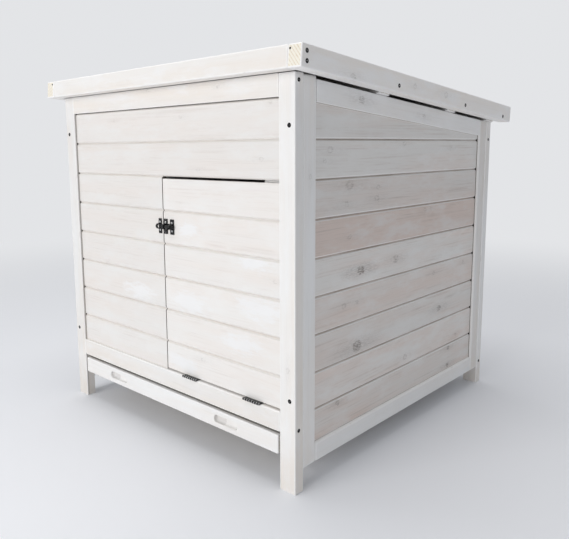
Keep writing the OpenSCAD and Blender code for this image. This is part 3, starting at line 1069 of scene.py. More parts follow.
    def split(self, old: set[BMVert], point: Vector, normal: Vector, trim: bool = False) -> None:
        """Lay a ring of points where a plane meets the newest piece, or cut the piece there.

        Args:
            old: The points of the pieces before it.
            point: A point on the plane.
            normal: The way to the plane's outer side.
            trim: Whether the outer side is cut off and the cut closed.
        """
        verts = self.fresh(old)
        made = bmesh.ops.bisect_plane(self.bm, geom=[*verts, *edges_at(verts), *faces_at(verts)], dist=WELD,
                                      plane_co=point, plane_no=normal, clear_outer=trim)["geom_cut"]
        rim = only(made, BMEdge)
        if trim and rim:
            bmesh.ops.edgeloop_fill(self.bm, edges=rim)

    def mark(self, verts: Sequence[BMVert], order: Sequence[int], paint: Paint) -> None:
        """Give a piece's points its grain, tone and marks.

        Args:
            verts: The piece's points, before placing.
            order: The axes along the grain, across it and into the piece.
            paint: Its paint.
        """
        layers = self.bm.verts.layers.float_vector
        rng = random.Random(paint.seed)
        shift = Vector([rng.uniform(*self.SHIFT) for _ in range(3)])
        given = [*zip(KNOT_LAYERS, paint.knots), *zip(DAUB_LAYERS, paint.daubs)]
        marks = [(layers[name], mark.vector() + Vector((shift.x, shift.y, 0.0))) for name, mark in given]
        for vert in verts:
            vert[layers["grain"]] = Vector([vert.co[axis] for axis in order]) + shift
            vert[layers["board"]] = paint.tone.vector()
            for layer, value in marks:
                vert[layer] = value

    def piece(self, name: str, node: str, material: Material, body: Body = Body.CARCASS,
              slot: Slot = Slot.FRAME) -> None:
        """Close the mesh into an object that replaces a CAD node."""
        close_piece(self.bm, name, (node,), body, slot, material)


@dataclass
class RoofSlope:
    """The plane that the roof lies in.

    Attributes:
        pitch: Fall from front to back, in radians.
        fascia_h: Height of the fascias.
        length: Length of the roof along its slope.
        inner_x: Distance of the side fascias' inner faces from the middle.
        outer_x: Distance of their outer faces from the middle.
        placing: Matrix from the roof's own space to the box.
    """

    pitch: float = math.radians(4.6)
    fascia_h: float = 0.031
    length: float = field(init=False)
    inner_x: float = field(init=False)
    outer_x: float = field(init=False)
    placing: Matrix = field(init=False)

    def __post_init__(self) -> None:
        """Work out the roof's length and middle from the right fascia."""
        low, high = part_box("roof_right_fascia")
        lean = self.fascia_h * math.sin(self.pitch)
        self.length = (high.y - low.y - lean) / math.cos(self.pitch)
        self.inner_x = low.x
        self.outer_x = high.x
        middle = Vector((0.0, (low.y + high.y + lean) / 2, high.z - self.length / 2 * math.sin(self.pitch)))
        self.placing = Matrix.Translation(middle) @ Matrix.Rotation(-self.pitch, 4, "X")

    def point(self, down: float, out: float, side: float = 0.0) -> Vector:
        """A point of the roof's own space, put in the box."""
        return self.placing @ Vector((side, down, out))

    def way(self, direction: Triple) -> Vector:
        """A direction of the roof's own space, turned into the box."""
        return self.placing.to_3x3() @ Vector(direction)


@dataclass
class BoardField:
    """Boards laid edge to edge on one face and cut to a window.

    Attributes:
        name: The piece's name.
        node: The CAD node that it replaces.
        face: The face that it lies on.
        body: The body that it rides on.
        first_joint: Place of the lowest joint.
        knots: Knots in view, along and across the face.
        daubs: Daubs of thick paint in view.
        tones: Paint of each row in view, by the row's number.
        profile: The boards' cross-section.
        end_gap: Set-back of the boards' ends in their slots, left and right, or 0 where there is no slot.
        holders: The CAD strips whose slots may hold the boards.
        wild: Whether unlisted rows get knots of their own.
        bare_ends: Whether the boards' ends are bare wood, and not painted with shade.
        WILD_ACROSS: Least and greatest height of a knot of its own over the joint.
        WILD_RADIUS: Least and greatest radius of such a knot, in mm.
        WILD_COUNT: Least and greatest number of such knots on a row.
        WILD_WARMTH: Least and greatest warmth of an unlisted row.
        WILD_VALUE: Least and greatest brightness of an unlisted row.
    """

    name: str
    node: str
    face: Face
    body: Body = Body.CARCASS
    first_joint: float = 0.117
    knots: Sequence[Mark] = ()
    daubs: Sequence[Mark] = ()
    tones: dict[int, Tone] = field(default_factory=dict)
    profile: BoardProfile = BoardProfile()
    end_gap: Range = (0.003, 0.003)
    holders: Sequence[str] = ()
    wild: bool = True
    bare_ends: bool = False
    WILD_ACROSS: ClassVar[Range] = (0.012, 0.046)
    WILD_RADIUS: ClassVar[Range] = (2.0, 5.5)
    WILD_COUNT: ClassVar[tuple[int, int]] = (1, 4)
    WILD_WARMTH: ClassVar[Range] = (-0.9, 0.3)
    WILD_VALUE: ClassVar[Range] = (-0.5, 0.1)

    def window(self, placing: Matrix) -> tuple[Vector, Vector]:
        """The CAD node's box in board space."""
        corners = [placing.inverted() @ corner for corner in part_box(self.node)]
        return Vector([min(pair) for pair in zip(*corners)]), Vector([max(pair) for pair in zip(*corners)])

    def plane(self) -> float:
        """Distance of the boards' outer face from the origin."""
        return max(corner.dot(self.face.outward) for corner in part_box(self.node))

    def joint(self, row: int) -> float:
        """Place of the joint under a row."""
        return self.first_joint + row * self.profile.pitch

    def in_row(self, marks: Iterable[Mark], row: int, span: Range) -> list[Mark]:
        """The marks that lie on a row within its span."""
        low = self.joint(row)
        return [mark for mark in marks
                if low <= mark.across * MM < low + self.profile.pitch and span[0] < mark.along * MM < span[1]]

    def row_knots(self, row: int, span: Range) -> list[Mark]:
        """Knots of a row: those in view, or ones of its own.

        Args:
            row: The row's number.
            span: Where its boards start and end along the face.

        Returns:
            The row's knots.
        """
        listed = self.in_row(self.knots, row, span)
        if listed or not self.wild:
            return listed
        rng = random.Random(f"{self.name} knots {row}")
        low = self.joint(row)
        return [Mark(rng.uniform(*span) / MM, (low + rng.uniform(*self.WILD_ACROSS)) / MM,
                     rng.uniform(*self.WILD_RADIUS)) for _ in range(rng.randint(*self.WILD_COUNT))]

    def row_tone(self, row: int) -> Tone:
        """Paint of a row: the one in view, or one of its own."""
        rng = random.Random(f"{self.name} tone {row}")
        return self.tones.get(row, Tone(rng.uniform(*self.WILD_WARMTH), rng.uniform(*self.WILD_VALUE)))

    def mouths(self, placing: Matrix) -> list[Plane]:
        """Find the slots that hold the boards.

        Args:
            placing: Matrix from board space to the box.

        Returns:
            A point on each slot's mouth and the way into the slot, in board space.
        """
        back = placing.inverted()
        slots = [Housing.for_boards(strip, self.node) for strip in self.holders]
        planes = [slot.mouth() for slot in slots if slot]
        return [(back @ point, back.to_3x3() @ way) for point, way in planes]

    def build(self, material: Material, cuts: Sequence[Plane] = (), mouths: Sequence[Plane] = (),
              placing: Optional[Matrix] = None, window: Optional[tuple[Vector, Vector]] = None) -> None:
        """Build the boards row by row.

        Args:
            material: Their finish.
            cuts: Further cutting planes in board space.
            mouths: Further mouths of slots in board space.
            placing: Matrix from board space, if not the face's own.
            window: Lowest and highest corner in board space, if not the CAD node's.
        """
        placing = placing or self.face.placing(self.plane())
        low, high = window or self.window(placing)
        span = (low.x + self.end_gap[0], high.x - self.end_gap[1])
        edges = [*cuts, (Vector((0.0, low.y, 0.0)), Vector((0.0, -1.0, 0.0))),
                 (Vector((0.0, high.y, 0.0)), Vector((0.0, 1.0, 0.0)))]
        mouths = [*mouths, *self.mouths(placing)]
        first = math.floor((low.y - self.first_joint) / self.profile.pitch + TINY)
        last = math.ceil((high.y - self.first_joint) / self.profile.pitch - TINY)
        timber = TimberMesh()
        for row in range(first, last):
            paint = Paint(f"{self.face} {row}", self.row_tone(row), self.row_knots(row, span),
                          self.in_row(self.daubs, row, span))
            timber.board(self.profile, self.joint(row), span, paint, mouths, edges, self.bare_ends, placing)
        timber.piece(self.name, self.node, material, self.body, Slot.BOARDS)


@dataclass
class Frame(SubAssembly):
    """Legs, rails and uprights that stand square, each the size of its CAD node.

    Attributes:
        nodes: The CAD nodes.
        tone: Their paint.
        tones: Paint of nodes that differ.
        arris: Round of their edges.
        arrises: Round of the edges of nodes that differ, by their names or the first word of those.
        reveal_shade: Strength of the shade painted on uprights beside the boards.
        foot_h: Height to which the legs' paint is thin and yellow.
        foot_tone: What that adds to their paint at the floor.
        board_nodes: The CAD nodes of the boards that they house.
        seated: The nodes that the roof sits close upon.
        seat_rise: How far those rise into the roof's gap.
        knots: Knots in view, by node.
    """

    nodes: tuple[str, ...] = (
        "leg_front_left", "leg_front_right", "leg_back_left", "leg_back_right",
        "front_top_rail", "front_bottom_rail", "door_mullion", "door_stop",
        "side_left_front_stile", "side_left_back_stile", "side_left_bottom_rail",
        "side_right_front_stile", "side_right_back_stile", "side_right_bottom_rail",
        "back_top_rail", "back_bottom_rail",
    )
    tone: Tone = Tone(-0.3, 0.2)
    tones: dict[str, Tone] = field(default_factory=lambda: {
        "front_top_rail": Tone(1.0, -0.1), "front_bottom_rail": Tone(0.7, -0.1),
        "leg_front_left": Tone(0.3, -0.4), "leg_front_right": Tone(0.2, 0.2),
        "side_right_front_stile": Tone(0.1, 0.4), "side_right_back_stile": Tone(0.6, -0.4),
    })
    arris: float = 0.0020
    arrises: dict[str, float] = field(
        default_factory=lambda: {"leg": 0.0016, "side": 0.0034, "front_top_rail": 0.0008})
    reveal_shade: float = 0.45
    foot_h: float = 0.085
    foot_tone: Tone = Tone(2.4, -0.3)
    board_nodes: tuple[str, ...] = (
        "front_boards_upper", "front_boards_left", "side_left_boards", "side_right_boards", "back_boards")
    seated: tuple[str, ...] = (
        "leg_front_left", "leg_front_right", "front_top_rail", "side_left_front_stile",
        "side_right_front_stile")
    seat_rise: float = 0.0013
    knots: dict[str, tuple[Mark, ...]] = field(default_factory=lambda: {
        "front_top_rail": (Mark(-27, 609, 2.5), Mark(147, 603, 2.5)),
        "side_right_front_stile": (Mark(470, -283, 3.0),), "leg_front_right": (Mark(190, 285, 3.0),),
    })

    def build(self) -> None:
        """Build every strip as a piece of its own."""
        for node in self.nodes:
            timber = TimberMesh()
            low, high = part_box(node)
            if node in self.seated:
                high.z += self.seat_rise
            kind = node.split("_")[0]
            paint = Paint(node, self.tones.get(node, self.tone), self.knots.get(node, ()))
            found = [Housing.for_boards(node, boards) for boards in self.board_nodes]
            timber.strip(low, high, paint, arris=self.arrises.get(node, self.arrises.get(kind, self.arris)),
                         housings=[housing for housing in found if housing], reveal_shade=self.reveal_shade)
            if kind == "leg":
                self.tint(timber)
            timber.piece(node + "_strip", node, self.finishes.strips)

    def tint(self, timber: TimberMesh) -> None:
        """Let a leg's paint be thin and yellow at its foot.

        Args:
            timber: The leg's mesh.
        """
        timber.split(set(), Vector((0.0, 0.0, self.foot_h)), Vector((0.0, 0.0, 1.0)))
        layer = timber.bm.verts.layers.float_vector["board"]
        for vert in timber.bm.verts:
            if vert.co.z < self.foot_h / 2:
                vert[layer] += self.foot_tone.vector()


@dataclass
class SidePanel(SubAssembly):
    """One side wall: its sloping top rail and its boards.

    Attributes:
        face: Which side it is.
        slope: The roof's plane.
        knots: Knots in view.
        tones: Paint of each row in view.
        rail_knots: Knots of the top rail.
        rail_tone: Paint of the top rail.
        rail_h: Height of the top rail.
        rail_arris: Round of the rail's edges.
        drop: Depth of the rail's top under the roof's top face.
        waste: Length at each end of the rail that is sawn off upright.
        housing: Reach of the boards into the rail.
    """

    face: Face
    slope: RoofSlope
    knots: Sequence[Mark] = ()
    tones: dict[int, Tone] = field(default_factory=dict)
    rail_knots: Sequence[Mark] = ()
    rail_tone: Tone = Tone(-0.3, 0.5)
    rail_h: float = 0.031
    rail_arris: float = 0.0010
    drop: float = 0.0335
    waste: float = 0.006
    housing: float = 0.006

    @property
    def side(self) -> str:
        """The side's word in the CAD nodes' names."""
        return self.face.name.lower()

    def build(self) -> None:
        """Build the rail and the boards that run up into it."""
        self.rail()
        top = self.slope.point(0.0, -self.drop - self.rail_h + self.housing)
        up = self.slope.way((0.0, 0.0, 1.0))
        edge = Vector((self.face.along.dot(top), top.z, 0.0))
        normal = Vector((self.face.along.dot(up), up.z, 0.0))
        boards = BoardField(f"{self.side}_wall_boards", f"side_{self.side}_boards", self.face,
                            knots=self.knots, tones=self.tones, holders=Frame.nodes)
        boards.build(self.finishes.boards, cuts=[(edge, normal)],
                     mouths=[(edge - normal * self.housing, normal)])

    def rail(self) -> None:
        """Build the top rail, its ends sawn upright."""
        node = f"side_{self.side}_top_rail"
        low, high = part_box(node)
        pitch = self.slope.pitch
        away = self.slope.placing.translation.y
        start, end = ((y - away) / math.cos(pitch) - self.drop * math.tan(pitch) for y in (low.y, high.y))
        timber = TimberMesh()
        timber.strip(Vector((low.x, start - self.waste, -self.drop - self.rail_h)),
                     Vector((high.x, end + self.waste, -self.drop)),
                     Paint(node, self.rail_tone, self.rail_knots), arris=self.rail_arris,
                     placing=self.slope.placing)
        for point, way in ((low, -1.0), (high, 1.0)):
            timber.split(set(), point, Vector((0.0, way, 0.0)), trim=True)
        timber.piece(node + "_strip", node, self.finishes.strips)


@dataclass
class FrontPanel(SubAssembly):
    """The boards of the front wall, over and beside the doorway.

    Attributes:
        slack: Room between the boards' ends and the bottoms of their slots.
        profile: The boards' cross-section.
        knots: Knots in view.
        daubs: Daubs of thick paint in view.
        tones: Paint of each row.
        dull: What is added to the brightness of the rows beside the doorway.
    """

    slack: float = 0.003
    profile: BoardProfile = BoardProfile(vee_head=0.0030, seam=0.0001)
    knots: Sequence[Mark] = (
        Mark(51, 562, 2.6), Mark(-138, 563, 2.6), Mark(249, 575, 2.6), Mark(231, 495, 3.0),
        Mark(-84, 241, 2.2), Mark(-175, 297, 2.2), Mark(94, 161, 3.4), Mark(257, 318, 3.2),
        Mark(92, 478, 3.4),
    )
    daubs: Sequence[Mark] = (
        Mark(-80, 254, 24.0), Mark(62, 254, 26.0), Mark(228, 271, 30.0), Mark(185, 207, 26.0),
        Mark(33, 143, 22.0), Mark(62, 378, 17.0), Mark(213, 338, 20.0),
    )
    tones: dict[int, Tone] = field(default_factory=lambda: {
        8: Tone(0.5, -0.3), 7: Tone(0.5, -0.3), 6: Tone(0.6, -0.45), 5: Tone(0.2, 0.0), 4: Tone(0.3, 0.0),
        3: Tone(0.3, 0.0), 2: Tone(0.4, 0.1), 1: Tone(0.3, 0.1), 0: Tone(0.2, 0.2), -1: Tone(0.2, 0.2),
    })
    dull: float = -0.45

    def boards(self, name: str, node: str, body: Body, end_gap: Range,
               dull: float = 0.0) -> BoardField:
        """The boards of one stretch of the front, not built yet, each row's value changed by dull."""
        tones = {row: replace(tone, value=tone.value + dull) for row, tone in self.tones.items()}
        return BoardField(name, node, Face.FRONT, body, knots=self.knots, daubs=self.daubs, tones=tones,
                          profile=self.profile, end_gap=end_gap, holders=Frame.nodes, wild=False)

    def build(self) -> None:
        """Build the boards beside the doorway and over it."""
        beside = self.boards("front_boards_beside_door", "front_boards_left", Body.CARCASS, (self.slack, 0.0),
                             self.dull)
        beside.build(self.finishes.front)
        over = self.boards("front_boards_over_door", "front_boards_upper", Body.CARCASS,
                           (self.slack, self.slack))
        over.build(self.finishes.front)


@dataclass
class Door(SubAssembly):
    """The drop-down door: boards cut from the front wall's rows, and two battens inside.

    Attributes:
        front: The front wall, whose rows the door continues.
        batten_w: Width of a batten.
    """

    front: FrontPanel
    batten_w: float = 0.030

    def build(self) -> None:
        """Build the boards and the battens."""
        boards = self.front.boards("door_panel_boards", "door_boards", Body.DOOR, (0.0, 0.0))
        boards.build(self.finishes.front)
        timber = TimberMesh()
        for index, (low, high) in enumerate(ends_of("door_battens", self.batten_w)):
            timber.strip(low, high, Paint(f"door batten {index}"))
        timber.piece("door_inner_battens", "door_battens", self.finishes.strips, Body.DOOR)


@dataclass
class BackPanel(SubAssembly):
    """The boards of the back wall."""

    def build(self) -> None:
        """Build the boards."""
        boards = BoardField("back_wall_boards", "back_boards", Face.BACK, holders=Frame.nodes)
        boards.build(self.finishes.boards)


@dataclass
class Tray(SubAssembly):
    """The pull-out tray: a front with two finger grooves, sides, back, bottom and its runners.

    Attributes:
        side_t: Thickness of the sides.
        arris: Round of the edges of the sides and back.
        bottom_arris: Round of the bottom's edges.
        bottom_tone: Paint of the bottom.
        runner_w: Width of a runner.
        runner_setback: Distance of a runner's front end behind its CAD end.
        front_arris: Round of the front's edges.
        front_tone: Paint of the front.
        clean_top: Depth of the front's upper side that is left without painted shade.
        top_shade: Strength of the shade painted behind that, where the rail above shades it.
        groove_x: Distance of each finger groove from the middle.
        groove_len: Length of a groove.
        groove_h: Height of a groove.
        groove_d: Depth that its walls and floor are worked out from.
        groove_rim: Round of a groove's rim.
        rim_shares: Depth of each step down that round, as a share of it.
        groove_steps: Each step from there to the floor: its depth as a share of groove_d, and its inset.
        most_inset: Greatest inset as a share of the way to a groove's middle line.
        groove_shade: Strength of the shade painted into a groove at its left end.
        shade_share: Share of a groove's length, from its left end, that is painted with shade.
        turn_steps: Points of a groove's outline.
    """

    side_t: float = 0.012
    arris: float = 0.001
    bottom_arris: float = 0.0004
    bottom_tone: Tone = Tone(0.4, 0.0)
    runner_w: float = 0.030
    runner_setback: float = 0.008
    front_arris: float = 0.0021
    front_tone: Tone = Tone(-0.1, 0.3)
    clean_top: float = 0.006
    top_shade: float = 0.75
    groove_x: float = 0.151
    groove_len: float = 0.055
    groove_h: float = 0.013
    groove_d: float = 0.007
    groove_rim: float = 0.0012
    rim_shares: Range = (0.3, 0.7)
    groove_steps: tuple[Range, ...] = ((0.55, 0.0004), (0.20, 0.0016), (0.08, 0.0022))
    most_inset: float = 0.9
    groove_shade: float = 0.18
    shade_share: float = 0.42
    turn_steps: int = 32

    def build(self) -> None:
        """Build the tray and the runners."""
        self.front()
        timber = TimberMesh()
        for index, (low, high) in enumerate(ends_of("tray_sides", self.side_t)):
            timber.strip(low, high, Paint(f"tray side {index}"), arris=self.arris)
        timber.piece("tray_side_strips", "tray_sides", self.finishes.strips, Body.TRAY)
        timber = TimberMesh()
        timber.strip(*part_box("tray_back"), Paint("tray back"), arris=self.arris)
        timber.piece("tray_back_strip", "tray_back", self.finishes.strips, Body.TRAY)
        timber = TimberMesh()
        timber.strip(*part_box("tray_bottom"), Paint("tray bottom", self.bottom_tone), arris=self.bottom_arris)
        timber.piece("tray_bottom_sheet", "tray_bottom", self.finishes.tray, Body.TRAY, Slot.TRAY)
        timber = TimberMesh()
        for index, (low, high) in enumerate(ends_of("tray_runners", self.runner_w)):
            low.y += self.runner_setback
            timber.strip(low, high, Paint(f"runner {index}"), raw_ends=0.0)
        timber.piece("tray_runner_strips", "tray_runners", self.finishes.strips)

    def front(self) -> None:
        """Build the tray's front: an eased strip with two routed finger grooves."""
        low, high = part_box("tray_front")
        paint = Paint("tray front", self.front_tone)
        timber = TimberMesh()
        timber.strip(low, high, paint, arris=self.front_arris)
        self.soil_top(timber, low.y + self.clean_top)
        bm = timber.bm
        face = max(bm.faces, key=lambda one: -one.normal.y * one.calc_area())
        outer = list(face.edges)
        bmesh.ops.delete(bm, geom=[face], context="FACES_ONLY")
        middles = [Vector((side * self.groove_x, low.y, (low.z + high.z) / 2)) for side in BOTH_SIDES]
        rims = [self.groove_loop(bm, middle) for middle in middles]
        edges = [*outer, *(edge for rim in rims for edge in rim)]
        bmesh.ops.triangle_fill(bm, edges=edges, use_beauty=True, normal=(0.0, -1.0, 0.0))
        for rim in rims:
            self.sink(bm, rim)
        for middle in middles:
            self.tint(timber, middle)
        timber.mark(list(bm.verts), (0, 2, 1), paint)
        timber.piece("tray_front_strip", "tray_front", self.finishes.strips, Body.TRAY)

    def soil_top(self, timber: TimberMesh, unshaded_to: float) -> None:
        """Paint shade on the front's upper side behind its unshaded edge.

        Args:
            timber: The tray front's mesh.
            unshaded_to: Where the unshaded edge ends along Y.
        """
        timber.split(set(), Vector((0.0, unshaded_to, 0.0)), Vector((0.0, 1.0, 0.0)))
        timber.bm.normal_update()
        layer = timber.bm.faces.layers.float["soiled"]
        # Painted shade on the upper side under the rail.
        for face in timber.bm.faces:
            if face.calc_center_median().y > unshaded_to and face.normal.z > SAME_WAY:
                face[layer] = self.top_shade

    def groove_loop(self, bm: BMesh, middle: Vector) -> list[BMEdge]:
        """Lay the outline of one finger groove's rim on the front.

        Args:
            bm: The tray front's mesh.
            middle: The groove's middle.

        Returns:
            The outline's edges.
        """
        place = Matrix.Translation(middle) @ Matrix.Rotation(math.radians(90.0), 4, "X")
        radius = self.groove_h / 2 + self.groove_rim
        made = bmesh.ops.create_circle(bm, segments=self.turn_steps, radius=radius, cap_ends=False,
                                       matrix=place)["verts"]
        for vert in made:
            aside = vert.co.x - middle.x
            if abs(aside) > TINY:
                vert.co.x += math.copysign(self.stretch, aside)
        return edges_at(made)

    @property
    def stretch(self) -> float:
        """Distance of the hubs of a groove's round ends from its middle."""
        return (self.groove_len - self.groove_h) / 2

    def sink(self, bm: BMesh, rim: list[BMEdge]) -> None:
        """Sink a groove from its rim: a rounded lip, a wall and a dished floor.

        Args:
            bm: The tray front's mesh.
            rim: The outline's edges on the front.
        """
        steps = [(share * self.groove_rim, (1.0 - share) * self.groove_rim) for share in self.rim_shares]
        steps += [(share * self.groove_d, inset) for share, inset in self.groove_steps]
        for deeper, inset in steps:
            grown = bmesh.ops.extrude_edge_only(bm, edges=rim)["geom"]
            verts = only(grown, BMVert)
            rim = only(grown, BMEdge)
            centre = sum((vert.co for vert in verts), Vector()) / len(verts)
            for vert in verts:
                hub_x = max(centre.x - self.stretch, min(centre.x + self.stretch, vert.co.x))
                inwards = Vector((hub_x, vert.co.y, centre.z)) - vert.co
                vert.co += inwards.normalized() * min(inset, inwards.length * self.most_inset)
                vert.co.y += deeper
        bmesh.ops.edgeloop_fill(bm, edges=rim)

    def tint(self, timber: TimberMesh, middle: Vector) -> None:
        """Paint shade into a groove at its left end.

        Args:
            timber: The tray front's mesh.
            middle: The groove's middle on the front.
        """
        start = middle.x - self.groove_len / 2
        end = start + self.groove_len * self.shade_share
        timber.split(set(), Vector((end, 0.0, 0.0)), Vector((1.0, 0.0, 0.0)))
        layer = timber.bm.faces.layers.float["soiled"]
        # Painted shade on the groove's walls and floor at its left end.
        for face in timber.bm.faces:
            spot = face.calc_center_median()
            within = start < spot.x < end and abs(spot.z - middle.z) < self.groove_h / 2
            if within and self.groove_rim / 2 < spot.y - middle.y < 2 * self.groove_d:
                face[layer] = self.groove_shade


@dataclass
class Roof(SubAssembly):
    """The lean-to roof: fascias, boards and the battens under them.

    Attributes:
        slope: The roof's plane.
        front_t: Thickness of the front fascia.
        front_tone: Paint of the front fascia.
        side_tone: Paint of the side fascias.
        side_raw_ends: How bare the side fascias' ends are.
        board_t: Thickness of the boards.
        first_joint: Place of the first joint between the boards.
        batten_w: Width of a batten.
        batten_h: Height of a batten.
        batten_tone: Paint of the battens, darkened as painted shade under the roof.
        batten_shares: Places of the battens along the slope.
        knots: Knots in view, by node.
    """

    slope: RoofSlope
    front_t: float = 0.019
    front_tone: Tone = Tone(0.4, 0.0)
    side_tone: Tone = Tone(0.2, 1.35)
    side_raw_ends: float = 0.7
    board_t: float = 0.010
    first_joint: float = 0.029
    batten_w: float = 0.030
    batten_h: float = 0.0235
    # Darkened as painted shade: the battens show only in the dim gap under the roof.
    batten_tone: Tone = Tone(0.4, -2.5)
    batten_shares: tuple[float, ...] = (0.35, 0.69, 0.94)
    knots: dict[str, tuple[Mark, ...]] = field(default_factory=lambda: {
        "roof_right_fascia": (Mark(-224, -26, 5.0, 0.6), Mark(-52, -15, 4.0, 0.4), Mark(55, -14, 5.0, 0.5)),
    })

    def build(self) -> None:
        """Build the roof's pieces."""
        slope = self.slope
        half = slope.length / 2
        for side, node in zip(BOTH_SIDES, ("roof_left_fascia", "roof_right_fascia")):
            left, right = sorted((side * slope.inner_x, side * slope.outer_x))
            timber = TimberMesh()
            timber.strip(Vector((left, -half, -slope.fascia_h)), Vector((right, half, 0.0)),
                         Paint(node, self.side_tone, self.knots.get(node, ())), raw_ends=self.side_raw_ends,
                         placing=slope.placing)
            timber.piece(node + "_strip", node, self.finishes.strips)
        timber = TimberMesh()
        timber.strip(Vector((-slope.inner_x, -half, -slope.fascia_h)),
                     Vector((slope.inner_x, -half + self.front_t, 0.0)),
                     Paint("front fascia", self.front_tone), placing=slope.placing)
        timber.piece("roof_front_fascia_strip", "roof_front_fascia", self.finishes.strips)
        self.battens()
        boards = BoardField("roof_top_boards", "roof_boards", Face.ROOF, first_joint=self.first_joint,
                            end_gap=(0.0, 0.0), bare_ends=True)
        window = (Vector((-half + self.front_t, -slope.inner_x, 0.0)), Vector((half, slope.inner_x, 0.0)))
        boards.build(self.finishes.boards, placing=slope.placing @ Face.ROOF.placing(0.0), window=window)

    def battens(self) -> None:
        """Build the battens under the boards."""
        slope = self.slope
        timber = TimberMesh()
        for share in self.batten_shares:
            start = (share - 0.5) * slope.length - self.batten_w / 2
            timber.strip(Vector((-slope.inner_x, start, -self.board_t - self.batten_h)),
                         Vector((slope.inner_x, start + self.batten_w, -self.board_t)),
                         Paint(f"batten {share}", self.batten_tone), placing=slope.placing)
        timber.piece("roof_cross_battens", "roof_battens", self.finishes.strips)


